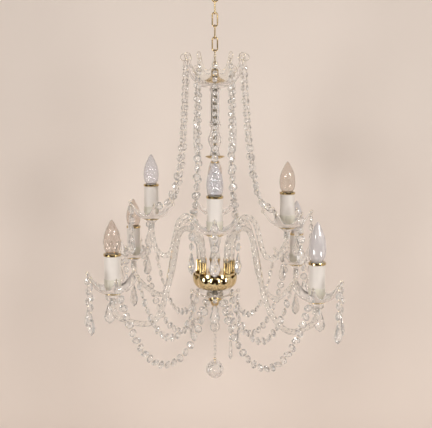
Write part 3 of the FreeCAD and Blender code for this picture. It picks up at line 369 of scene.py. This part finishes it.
def stem_piece(node, shares, bore, count, depth, glass, smooth=True):
    low, high = low_high(node)
    outer = [(r, high.z - down) for r, down in shares]
    if smooth:
        outer = [tuple(p) for p in smooth_line(outer, 60)]
    inner = [(bore, low.z), (bore, (low.z + high.z) / 2), (bore, high.z)]
    wave = ribs(count, depth, low.z, high.z)
    mesh = turned_mesh(node + "_glass", outer + inner, 120,
                       lambda a, r, z: 1.0 if r <= bore else wave(a, r, z))
    put(node + "_glass", mesh, glass, "chandelier", node)
    print(node, "ribs:", count, "height:", round(high.z - low.z, 1))


stem_piece("stem_tube", [(12.4, 0), (12.4, 3), (11.0, 5), (10.0, 9), (10.0, 30),
                         (10.0, 65), (11.0, 69), (11.9, 71), (11.9, 74)], 7.4, 8, 0.02,
           stem_glass, False)
stem_piece("stem_baluster", [(11.0, 0), (13.0, 3.5), (9.5, 8), (9.0, 15), (12.9, 26),
                             (15.0, 37), (10.8, 49), (9.0, 58), (10.5, 65), (12.0, 71)],
           5.3, 10, 0.12, stem_glass)
stem_piece("stem_lower", [(9.5, 0), (12.0, 5), (9.0, 14), (18.0, 44), (16.2, 70), (10.0, 108),
                          (9.0, 128), (14.5, 152), (12.5, 176), (9.5, 192), (12.0, 210)],
           5.3, 12, 0.10, moulded_glass)


# %% [markdown]
# ## The glass arms
# An arm is a rod of soft glass, ribbed, then twisted and bent over a form. A
# pipe along a curve would be smooth, so here a ring with six lobes is carried
# along the line and turned a little at each step, which draws the rope twist.

# %% Twisted arms
socket_reach = 37.0       # from the lamp's middle to the feet of the arms
foot_depth = 23.7         # foot of an arm below the top of its ferrule


def arm_line(tier, reach, end_z):
    """Centre line of an arm from its socket to its cup, as (reach, z)."""
    start_z = low_high("arm_ferrules")[1].z - foot_depth
    full = tier_reach[tier]
    if tier == "lower":
        middle = [(socket_reach, start_z + 12), (socket_reach, start_z + 34),
                  (48, start_z + 76), (92, start_z + 103), (121, start_z + 56),
                  (147, start_z - 38), (178, start_z - 81), (216, end_z - 68),
                  (256, end_z - 52), (275.5, end_z - 38), (281.5, end_z - 24),
                  (full, end_z - 15), (full, end_z - 7)]
    else:
        middle = [(socket_reach, start_z + 12), (socket_reach, start_z + 25),
                  (38.2, start_z + 50), (43, start_z + 88), (54, start_z + 112),
                  (70, start_z + 120), (85, start_z + 110), (95, start_z + 84),
                  (103, start_z + 52), (113, start_z + 32), (126, start_z + 27),
                  (139, start_z + 33), (150, start_z + 50), (156.9, end_z - 27),
                  (full, end_z - 19), (full, end_z - 13), (full, end_z - 6)]
    scale = (reach - socket_reach) / (full - socket_reach)
    line = [(socket_reach, start_z)]
    line += [(socket_reach + (r - socket_reach) * scale, z) for r, z in middle]
    return line + [(reach, end_z)]


def arm_mesh(name, line, lobes=6, radius=6.0, turns_per_mm=0.012, groove=0.17,
             plain_end=16.0, fade=10.0, around=48):
    """Rope-twisted rod along a line. Its ends stay plain, where they are seated."""
    path = smooth_line(line, 220)
    ahead = np.gradient(path, axis=0)
    ahead /= np.linalg.norm(ahead, axis=1)[:, None]
    travel = np.concatenate([[0], np.cumsum(np.linalg.norm(np.diff(path, axis=0), axis=1))])
    total = travel[-1]
    rings = []
    for (r, z), (dr, dz), s in zip(path, ahead, travel):
        ends = min(s, total - s)
        depth = groove * min(max((ends - plain_end) / fade, 0.0), 1.0)
        ring = []
        for k in range(around):
            angle = 2 * pi * k / around
            twist = 2 * pi * turns_per_mm * s
            size = radius * (1 - depth * (0.5 + 0.5 * cos(lobes * (angle + twist))))
            across = size * cos(angle)
            up = size * sin(angle)
            ring.append((across, -(r - up * dz), z + up * dr))
        rings.append(ring)
    return ring_mesh(name, rings)


# A candle is counted down from the middle of its shade ring: half the ring, the
# sleeve, the foot of its cup, the pan and then the brass gallery with its cone.
ring_half = 2.5
sleeve_length = 57.0
cup_foot = 13.0
pan_t = 3.0
seat_gap = 0.1
fitting_top = -(ring_half + sleeve_length + cup_foot + pan_t + 4 * seat_gap)
gallery_t = 3.0
gallery_cone_h = 5.0
arm_in_cone = 2.0
arm_end = fitting_top - gallery_t - gallery_cone_h + arm_in_cone
for name, (heading, reach, x, y, ring_z) in candles.items():
    tier, k = name.split("_")
    node = f"{tier}_arm_{k}"
    mesh = arm_mesh(node + "_twist", arm_line(tier, reach, ring_z + arm_end))
    put(node + "_twist", mesh, moulded_glass, "chandelier", node, turn=heading)
print("arm cup height under the ring:", round(arm_end, 1))


# %% [markdown]
# ## Star dishes and drip pans
# Pans and dishes are pressed glass stars. Their outline is what is left of a
# disc after a circle is cut out between every two points, and fine teeth and
# fan ribs run over the petals. A grid over angle and reach can follow that
# outline exactly, while a cut disc would leave rough edges.

# %% A pressed star of glass
def star_reach(angle, points, rim, centre, cut):
    """How far out the glass goes at an angle counted from a point."""
    step = 2 * pi / points
    off = (angle + step / 2) % step - step / 2
    away = step / 2 - abs(off)
    side = centre * sin(away)
    if side >= cut:
        return rim
    return min(rim, centre * cos(away) - sqrt(cut * cut - side * side))


def star_mesh(name, middle, thick, points, centre, point_width, fans, teeth):
    """Closed star dish. middle is its (reach, z) line from bore to point."""
    line = smooth_line(middle, 200)
    rim = middle[-1][0]
    bore = middle[0][0]
    cut = centre * sin(pi / points) - point_width / 2
    around = points * 32
    across = 22
    thin_from = 0.92      # share of the way out where the edge starts to thin
    upper = []
    lower = []
    for i in range(across + 1):
        share = (i / across) ** 0.85
        top = []
        low = []
        for k in range(around):
            angle = 2 * pi * k / around
            edge = star_reach(angle, points, rim, centre, cut)
            edge -= teeth * (0.5 + 0.5 * cos(angle * points * 8)) * (1 if edge < rim - 0.5 else 0)
            reach = bore + (edge - bore) * share
            z = float(np.interp(reach, line[:, 0], line[:, 1]))
            near = float(np.interp(reach + 0.5, line[:, 0], line[:, 1]))
            back = float(np.interp(reach - 0.5, line[:, 0], line[:, 1]))
            rise = near - back
            span = hypot(1.0, rise)
            out_r, out_z = -rise / span, 1.0 / span
            half = thick / 2
            if share > thin_from:
                past = (share - thin_from) / (1 - thin_from)
                half *= sqrt(max(1 - past ** 2 * 0.6, 0.1))
            fan = fans * sin(pi * min(share * 1.1, 1.0)) * (0.5 + 0.5 * cos(angle * points * 4))
            for ring, way, less in ((top, half, 0.0), (low, -half, fan)):
                r = reach + out_r * (way + less)
                ring.append((r * sin(angle), -r * cos(angle), z + out_z * (way + less)))
        upper.append(top)
        lower.append(low)
    return ring_mesh(name, upper + lower[::-1], closed_path=True)


stem_bore = 5.3
dish_heel = 0.8           # rise of a dish at the edge of its floor
point_width = 7.0         # left at the end of every point


def dish_line(foot_r, floor_r, rim_r, floor_z, rise, shares):
    """Middle of a dish from its bore to its points, as (reach, z)."""
    wide = rim_r - floor_r
    return [(stem_bore, floor_z), (foot_r, floor_z), (floor_r, floor_z + dish_heel),
            *[(floor_r + wide * a, floor_z + rise * b) for a, b in shares],
            (rim_r, floor_z + rise)]


pan_line = dish_line(11.4, 19.0, 53.0, fitting_top + seat_gap + pan_t / 2, 33.5,
                     ((0.30, 0.16), (0.56, 0.40), (0.80, 0.72)))
pan_glass = star_mesh("drip_pan_star", pan_line, 2.96, 6, 62.0, point_width, 0.9, 0.7)
for name, (heading, reach, x, y, ring_z) in candles.items():
    tier, k = name.split("_")
    put(f"{tier}_pan_{k}_star", pan_glass, moulded_glass, "chandelier",
        f"{tier}_pan_{k}", (x, y, ring_z), heading)
print("drip pan faces:", len(pan_glass.polygons))

# %% [markdown]
# The two dishes on the stem are made with the same helper. The top one is a
# tall crown of twelve points, and the lower one a flat star on a thick hub.

# %% Top dish and lower dish
top_floor = low_high("top_dish")[0].z + 2.0
crown_line = dish_line(12.0, 20.0, 66.0, top_floor, 64.0,
                       ((0.36, 0.12), (0.66, 0.34), (0.86, 0.66)))
crown = star_mesh("top_dish_crown", crown_line, 2.4, 12, 72.0, point_width, 0.15, 0.6)
put("top_dish_crown", crown, thin_glass, "chandelier", "top_dish")

hub_low = low_high("lower_dish")[0].z
dish_floor = hub_low + 3.0
lower_line = [(9.3, dish_floor), (18.9, dish_floor), (27.0, dish_floor + 0.3),
              (39.0, dish_floor + 2.8), (51.0, dish_floor + 9.0)]
lower_star = star_mesh("lower_dish_star", lower_line, 3.16, 8, 55.0, point_width, 0.9, 0.5)
put("lower_dish_star", lower_star, moulded_glass, "chandelier", "lower_dish")
hub = turned_mesh("lower_dish_hub",
                  [(stem_bore, hub_low), (19.4, hub_low), (22.0, hub_low + 1.0), (26.6, dish_floor - 0.6),
                   (26.9, dish_floor), (19.0, dish_floor + 1.5), (15.5, hub_low + 13.5),
                   (14.8, hub_low + 14.9), (stem_bore, hub_low + 14.9)], 96,
                  lambda a, r, z: 1 - (0.05 * (0.5 + 0.5 * cos(16 * a)) if r > 16 else 0))
put("lower_dish_hub", hub, moulded_glass, "chandelier", None)
print("dish floors at", round(top_floor, 1), round(dish_floor, 1))

# %% [markdown]
# ## Cups and galleries
# The sleeve stands in a small ribbed cup of warm glass that is one with the
# pan. Below the pan a thin brass gallery is screwed on a stud, and under it a
# clear socket takes the end of the arm, so that only the gallery's edge shows
# as a gold line. All are turned, so each is one profile, placed eight times.

# %% Galleries and glass cups
gallery_profile = [(0.5, -56.0), (5.0, -56.0), (5.0, -75.9), (16.6, -75.9), (17.0, -76.2),
                   (17.0, -76.9), (16.4, -77.4), (10.0, -77.6), (4.0, -78.6), (3.0, -80.0),
                   (3.0, -81.4), (0.5, -81.4)]
gallery_mesh = turned_mesh("arm_gallery", gallery_profile, 72)
socket_profile = [(3.3, -78.8), (8.0, -78.0), (15.0, -77.7), (13.0, -79.4), (9.6, -82.4),
                  (7.4, -84.6), (7.3, -92.0), (7.4, -99.0), (8.2, -100.0), (8.0, -100.9),
                  (6.4, -100.9), (6.4, -81.9), (3.3, -81.9)]
socket_mesh = turned_mesh("arm_socket", socket_profile, 96,
                          lambda a, r, z: 1 - (0.05 * (0.5 + 0.5 * cos(12 * a)) if r > 7 else 0))
cup_profile = [(5.2, -72.7), (11.2, -72.7), (14.8, -66.5), (16.8, -60.6), (16.8, -48.6),
               (16.5, -47.8), (16.15, -47.9), (16.1, -59.7), (5.2, -59.7)]
cup_mesh = turned_mesh("sleeve_cup", cup_profile, 96,
                       lambda a, r, z: 1 - (0.045 * (0.5 + 0.5 * cos(18 * a))
                                            if 11 < r and z < -60 else 0))
for name, (heading, reach, x, y, ring_z) in candles.items():
    put(f"{name}_gallery", gallery_mesh, brass, "chandelier", "candle_fittings", (x, y, ring_z))
    put(f"{name}_socket", socket_mesh, moulded_glass, "chandelier", "candle_fittings",
        (x, y, ring_z), heading)
    tier, k = name.split("_")
    put(f"{name}_sleeve_cup", cup_mesh, cup_glass, "chandelier", f"{tier}_pan_{k}",
        (x, y, ring_z))
print("gallery and cup faces:", len(gallery_mesh.polygons), len(cup_mesh.polygons))

# %% [markdown]
# A thin brass saucer sits in the middle of the stem, on a waist and a foot.
# The bowl round the receiver is beaten from sheet into lobes, and out of it
# stand eight fluted ferrules that hold the arms. Waves on the radius make the
# lobes and the flutes, and the lobes also dip the bowl's rim.

# %% Saucer, lobed bowl and fluted ferrules
mid_low, mid_high = low_high("mid_cup")
saucer = [(5.4, mid_high.z - 2.5), (12.5, mid_high.z - 2.5), (13.4, mid_high.z - 0.1),
          (17.8, mid_high.z - 0.8), (20.6, mid_high.z - 2.2), (21.2, mid_high.z - 2.9),
          (20.6, mid_high.z - 3.6), (15.0, mid_high.z - 6.3), (9.2, mid_high.z - 7.9),
          (6.6, mid_high.z - 9.4), (6.4, mid_low.z + 4.5), (8.6, mid_low.z + 2.4),
          (8.8, mid_low.z), (5.4, mid_low.z)]
put("mid_cup_saucer", turned_mesh("mid_cup_saucer", saucer, 96), deep_brass, "chandelier",
    "mid_cup")

bowl_top = low_high("receiver_bowl")[1].z
bowl_rim_r = 49.8
bowl_depth = 33.9
bowl_wall = 1.5
half_lobes = 5            # the cosine's two signs make ten lobes of these
rim_dip = 5.5
bowl_shares = ((1.0, 0.0), (1.0, 0.2), (0.97, 0.45), (0.86, 0.72), (0.60, 0.93), (0.3, 0.99))
bowl_outer = smooth_line([(bowl_rim_r * a, -bowl_depth * b) for a, b in bowl_shares], 30)
bowl_rings = []
bowl_inner = [(r - bowl_wall, z + (bowl_wall if z < -3 else 0)) for r, z in bowl_outer[::-1]]
for r, z in [*bowl_outer, (5.6, -34.0), (5.6, -32.5), *bowl_inner]:
    ring = []
    for k in range(240):
        angle = 2 * pi * k / 240
        lobe = abs(cos(half_lobes * angle))
        strong = min(max((r - 12) / 20, 0.0), 1.0)
        reach = r * (1 - 0.055 * strong * (1 - lobe))
        dip = rim_dip * (1 - lobe) ** 1.5 * max(1 + z / 12, 0.0)
        ring.append((reach * sin(angle), -reach * cos(angle), bowl_top + z - dip))
    bowl_rings.append(ring)
put("receiver_bowl_lobed", ring_mesh("receiver_bowl_lobed", bowl_rings, closed_path=True),
    brass, "chandelier", "receiver_bowl")

ferrule_h = 26.0
plate_top = low_high("arm_ferrules")[1].z - ferrule_h


def flutes(angle, r, z):
    return 1 - (0.14 * (0.5 + 0.5 * cos(12 * angle)) if r > 7.0 else 0)


ferrule_mesh = turned_mesh("fluted_ferrule",
                           [(0.4, -5.4), (4.0, -5.4), (4.0, 0.1), (7.3, 0.1), (7.3, 1.6),
                            (7.4, 2.2), (7.4, 23.6), (7.6, 24.4), (7.8, 25.4), (7.7, ferrule_h),
                            (6.2, ferrule_h), (6.2, 2.2), (0.4, 2.2)], 120, flutes)
for name, (heading, reach, x, y, ring_z) in candles.items():
    put(f"{name}_ferrule", ferrule_mesh, deep_brass, "chandelier", "arm_ferrules",
        polar(socket_reach, heading, plate_top), heading)
print("bowl lobes: 10, ferrules:", len(candles))

# %% [markdown]
# ## Bulbs
# Candle bulbs are blown, so the wall is thin and hollow: one skin outside and
# one inside. Some are plain, two are moulded with a crossing swirl, and two are
# cool white with rows of small beads. A wave on the radius draws each pattern:
# where its phase grows with height the wave turns into a swirl.

# %% Candle bulbs and their caps
bulb_shares = ((0.035, 0.62), (0.09, 0.77), (0.20, 0.94), (0.34, 1.0), (0.52, 0.93),
               (0.70, 0.72), (0.86, 0.40), (0.95, 0.19), (0.992, 0.03))
bulb_r = 17.5
bulb_neck_r = 10.5
bulb_wall = 0.9
cap_depth = 17.0          # of the bayonet cap under the glass
bulb_looks = {"lower_1": ("swirl", clear_bulb), "upper_4": ("beaded", frost_bulb),
              "upper_1": ("beaded", frost_bulb), "upper_2": ("plain", brown_bulb),
              "upper_3": ("swirl", clear_bulb), "lower_2": ("plain", pearl_bulb),
              "lower_3": ("plain", pearl_bulb), "lower_4": ("plain", clear_bulb)}


def bulb_glass(name, tall, kind):
    outer = smooth_line([(bulb_neck_r, 0.0)] + [(bulb_r * r, tall * z) for z, r in bulb_shares], 72)
    inner = [(max(r - bulb_wall, 0.3), min(z, tall - 1.4)) for r, z in outer][::-1]

    def wave(angle, r, z):
        share = min(max(z / tall, 0.0), 1.0)
        fade = min(share * 8, (1 - share) * 5, 1.0)
        if kind == "beaded":
            return 1 - 0.10 * fade * (0.5 + 0.5 * cos(9 * angle) * cos(2 * pi * 9 * share))
        one_way = 0.5 + 0.5 * cos(9 * angle + 2 * pi * 3.2 * share)
        other_way = 0.5 + 0.5 * cos(9 * angle - 2 * pi * 2.1 * share)
        return 1 - 0.08 * fade * (0.6 * one_way + 0.4 * other_way)

    return turned_mesh(name, [tuple(p) for p in outer] + inner, 144,
                       None if kind == "plain" else wave)


def bulb_cap(name):
    shell = [(8.2, -cap_depth), (10.6, -16.6), (10.9, -15.0), (10.9, -1.6), (10.6, -0.4),
             (8.8, -0.1), (8.2, -0.4)]
    return turned_mesh(name, shell, 64)


for name, (heading, reach, x, y, ring_z) in candles.items():
    tier, k = name.split("_")
    node = f"{tier}_bulb_{k}"
    kind, glass = bulb_looks[name]
    low, high = low_high(node)
    seat = low.z + cap_depth
    tall = high.z - seat
    mesh = bulb_glass(f"{node}_{kind}", tall, kind)
    put(f"{node}_{kind}", mesh, glass, node + "_body", node, (x, y, seat), heading)
    put(f"{node}_cap", bulb_cap(f"{node}_cap"), brass, node + "_body", None, (x, y, seat))
    print(node, kind, "height", round(tall, 1))

# %% [markdown]
# ## The crystal ball
# A cut ball is ground flat all round in rows of triangles. Rings of points
# that are shifted by half a step on every second row give just these facets,
# and flat shading keeps their edges sharp.

# %% Faceted ball
ball_low, ball_high = low_high("ball")
ball_r = 20.0
ball_centre = Vector((0, 0, ball_low.z + ball_r))


def cut_ball(name, radius, rows, around):
    points = [(0, 0, -radius)]
    for i in range(1, rows):
        lift = -pi / 2 + pi * i / rows
        for k in range(around):
            angle = 2 * pi * (k + 0.5 * (i % 2)) / around
            points.append((radius * cos(lift) * sin(angle), radius * cos(lift) * cos(angle),
                           radius * sin(lift)))
    points.append((0, 0, radius))
    faces = []
    for k in range(around):
        faces.append((0, 1 + (k + 1) % around, 1 + k))
    for i in range(1, rows - 1):
        a = 1 + (i - 1) * around
        b = a + around
        for k in range(around):
            m = (k + 1) % around
            if i % 2:
                faces.append((a + k, a + m, b + m))
                faces.append((a + k, b + m, b + k))
            else:
                faces.append((a + k, a + m, b + k))
                faces.append((a + m, b + m, b + k))
    top = 1 + (rows - 2) * around
    for k in range(around):
        faces.append((top + k, top + (k + 1) % around, len(points) - 1))
    mesh = bpy.data.meshes.new(name)
    mesh.from_pydata([tuple(Vector(p) * MM) for p in points], [], faces)
    mesh.update()
    return mesh


put("ball_cut", cut_ball("ball_cut", ball_r, 10, 16), cut_crystal, "ball_body", "ball", ball_centre)
eye_r = 2.6
eye_wire_r = 0.7
eye_z = ball_high.z - eye_r - eye_wire_r
eye_rings = []
for i in range(36):
    turn = 2 * pi * i / 36
    around_wire = [2 * pi * k / 12 for k in range(12)]
    eye_rings.append([((eye_r + eye_wire_r * cos(a)) * sin(turn), eye_wire_r * sin(a),
                       (eye_r + eye_wire_r * cos(a)) * cos(turn)) for a in around_wire])
put("ball_eye", ring_mesh("ball_eye", eye_rings, closed_path=True), brass, "ball_body", None,
    (0, 0, eye_z))
put("ball_post", turned_mesh("ball_post", [(0.2, -6.0), (1.0, -6.0), (1.0, -2.6), (0.2, -2.6)], 16),
    brass, "ball_body", None, (0, 0, eye_z))
print("ball centre", [round(v, 1) for v in ball_centre])

# %% [markdown]
# ## Finishes for the pieces that keep their shape
# Chain, cap, finial and rings are already right, so they only get a finish.
# Each piece is a node with slots, and every slot is set to its material.

# %% Give the kept pieces their materials
kept = {
    brass: ["ceiling_plate", "top_loop", "receiver_plate"],
    deep_brass: ["top_cap", "finial_cup", "shade_rings"],
    chain_brass: ["ceiling_hook"] + [f"chain_link_{k}" for k in range(1, 6)],
    old_brass: ["centre_rod"],
    pin_brass: ["jump_rings", "strand_pins"],
    cut_crystal: ["strand_beads_small", "strand_beads_large", "prism_drops", "swag_beads",
                  "upper_pendants", "lower_pendants", "dish_pendants", "front_drop",
                  "ball_strand"],
    sleeve_white: ["candle_tubes"],
    holder_white: ["lampholders"],
}
for material, names in kept.items():
    for name in names:
        for slot in nodes[name].material_slots:
            slot.material = material
    print(material.name, "on", len(names), "pieces")

# %% [markdown]
# ## The studio
# The lamp hangs before a wall of pale pinkish beige. The wall is a stage, not
# part of the lamp. It is seen from the front only: from behind it turns clear,
# so the lamp can be looked at all round.

# %% Wall and floor
wall_tone = srgb(230, 218, 208)
wall_shade = srgb(225, 212, 202)


def stage_plane(name, corners, material):
    mesh = bpy.data.meshes.new(name)
    mesh.from_pydata(corners, [], [(0, 1, 2, 3)])
    mesh.materials.append(material)
    plane = bpy.data.objects.new(name, mesh)
    scene.collection.objects.link(plane)


wall_paint = finish_of("wall_paint", wall_tone, wall_shade, 1.6, 0.7, 0.9, 0.05)
paint_tree = wall_paint.node_tree
paint = paint_tree.nodes["Principled BSDF"]
clear = paint_tree.nodes.new("ShaderNodeBsdfTransparent")
facing = paint_tree.nodes.new("ShaderNodeNewGeometry")
choose = paint_tree.nodes.new("ShaderNodeMixShader")
paint_tree.links.new(facing.outputs["Backfacing"], choose.inputs[0])
paint_tree.links.new(paint.outputs[0], choose.inputs[1])
paint_tree.links.new(clear.outputs[0], choose.inputs[2])
paint_tree.links.new(choose.outputs[0], paint_tree.nodes["Material Output"].inputs["Surface"])

room_half = 3.0
wall_y = 0.55
wall_top = 1.5
floor_z = -1.3
floor_front_y = -0.6
stage_plane("back_wall", [(-room_half, wall_y, floor_z), (room_half, wall_y, floor_z),
                          (room_half, wall_y, wall_top), (-room_half, wall_y, wall_top)],
            wall_paint)
stage_plane("floor", [(-room_half, floor_front_y, floor_z), (room_half, floor_front_y, floor_z),
                      (room_half, wall_y, floor_z), (-room_half, wall_y, floor_z)], wall_paint)

# %% [markdown]
# The world lights evenly and is what glass and metal show where they look past
# the wall. It is the wall's colour to the camera. To the rest it is a soft room,
# pale towards the wall and dark behind the viewer. Light that came through glass
# sees mostly the wall's colour, as thin glass would. Only mirrored light sees
# windows and dark corners: broad noise with hard edges, which draws the dark and
# bright bands on the brass. The floor ends a little in front of the lamp, so that
# brass sees the room and not only the floor.

# %% World
world = bpy.data.worlds.new("room")
scene.world = world
world.use_nodes = True
air = world.node_tree
back = air.nodes["Background"]
where = air.nodes.new("ShaderNodeTexCoord")
height = air.nodes.new("ShaderNodeSeparateXYZ")
climb = air.nodes.new("ShaderNodeValToRGB")
lift = air.nodes.new("ShaderNodeMapRange")
lift.inputs["From Min"].default_value = -1.0
lift.inputs["From Max"].default_value = 1.0
climb.color_ramp.elements[0].color = srgb(84, 74, 64)
climb.color_ramp.elements[0].position = 0.0
climb.color_ramp.elements[1].color = srgb(240, 235, 230)
climb.color_ramp.elements[1].position = 0.6
clutter = air.nodes.new("ShaderNodeTexNoise")
clutter.inputs["Scale"].default_value = 1.5
clutter.inputs["Detail"].default_value = 0.0
windows = air.nodes.new("ShaderNodeValToRGB")
windows.color_ramp.elements[0].color = srgb(52, 38, 24)
windows.color_ramp.elements[0].position = 0.48
windows.color_ramp.elements[1].color = srgb(255, 252, 246)
windows.color_ramp.elements[1].position = 0.53
mirrored = air.nodes.new("ShaderNodeMix")
mirrored.data_type = "RGBA"
eye_ray = air.nodes.new("ShaderNodeLightPath")
see = air.nodes.new("ShaderNodeMix")
see.data_type = "RGBA"
see.inputs["B"].default_value = wall_tone
through = air.nodes.new("ShaderNodeMix")
through.data_type = "RGBA"
soften = air.nodes.new("ShaderNodeMath")
soften.operation = "MULTIPLY"
soften.inputs[1].default_value = 0.72
through.inputs["B"].default_value = wall_tone
air.links.new(where.outputs["Generated"], height.inputs[0])
air.links.new(height.outputs["Y"], lift.inputs["Value"])
air.links.new(lift.outputs[0], climb.inputs[0])
air.links.new(eye_ray.outputs["Is Transmission Ray"], soften.inputs[0])
air.links.new(soften.outputs[0], through.inputs["Factor"])
air.links.new(where.outputs["Generated"], clutter.inputs["Vector"])
air.links.new(clutter.outputs["Fac"], windows.inputs[0])
air.links.new(eye_ray.outputs["Is Glossy Ray"], mirrored.inputs["Factor"])
air.links.new(climb.outputs[0], mirrored.inputs["A"])
air.links.new(windows.outputs[0], mirrored.inputs["B"])
air.links.new(mirrored.outputs["Result"], through.inputs["A"])
air.links.new(through.outputs["Result"], see.inputs["A"])
air.links.new(eye_ray.outputs["Is Camera Ray"], see.inputs["Factor"])
air.links.new(see.outputs["Result"], back.inputs["Color"])
back.inputs["Strength"].default_value = 0.8

# %% [markdown]
# Four soft lamps stand in front, two high and two low. The strongest is high on
# the right. They are what sparkles in the crystals.

# %% Lamps
lamp_white = (1.0, 0.99, 0.98)
lamp_aim = Vector((0, 0, -0.45))


def soft_lamp(name, place, size, power):
    data = bpy.data.lights.new(name, "AREA")
    data.shape = "SQUARE"
    data.size = size
    data.energy = power
    data.color = lamp_white
    lamp = bpy.data.objects.new(name, data)
    scene.collection.objects.link(lamp)
    lamp.location = place
    toward = lamp_aim - Vector(place)
    lamp.rotation_euler = toward.to_track_quat("-Z", "Y").to_euler()


soft_lamp("upper_right", (1.5, -1.7, 0.7), 0.55, 25)
soft_lamp("lower_right", (1.5, -1.5, -1.2), 0.45, 12)
soft_lamp("lower_left", (-1.6, -1.6, -1.2), 0.5, 16)
soft_lamp("upper_left", (-1.3, -1.9, 0.5), 0.5, 17)

# %% [markdown]
# ## The camera
# The picture was taken from a little above the middle of the lamp. The place,
# the lens and the tilt come from fitting the candle rings to their pixels.

# %% Camera
camera_data = bpy.data.cameras.new("viewer")
camera_tilt = 6.918       # degrees below level
camera_data.sensor_width = 36.0
camera_data.lens = 65.64
camera = bpy.data.objects.new("viewer", camera_data)
scene.collection.objects.link(camera)
camera.location = (0.0024, -1.7103, -0.2915)
camera.rotation_euler = (radians(90 - camera_tilt), 0, 0)
scene.camera = camera
scene.view_settings.view_transform = "Standard"

# %% [markdown]
# Last, the scene is brought up to date. The dressed lamp has to stay inside the frame's
# box.

# %% Bring the scene up to date
bpy.context.view_layer.update()
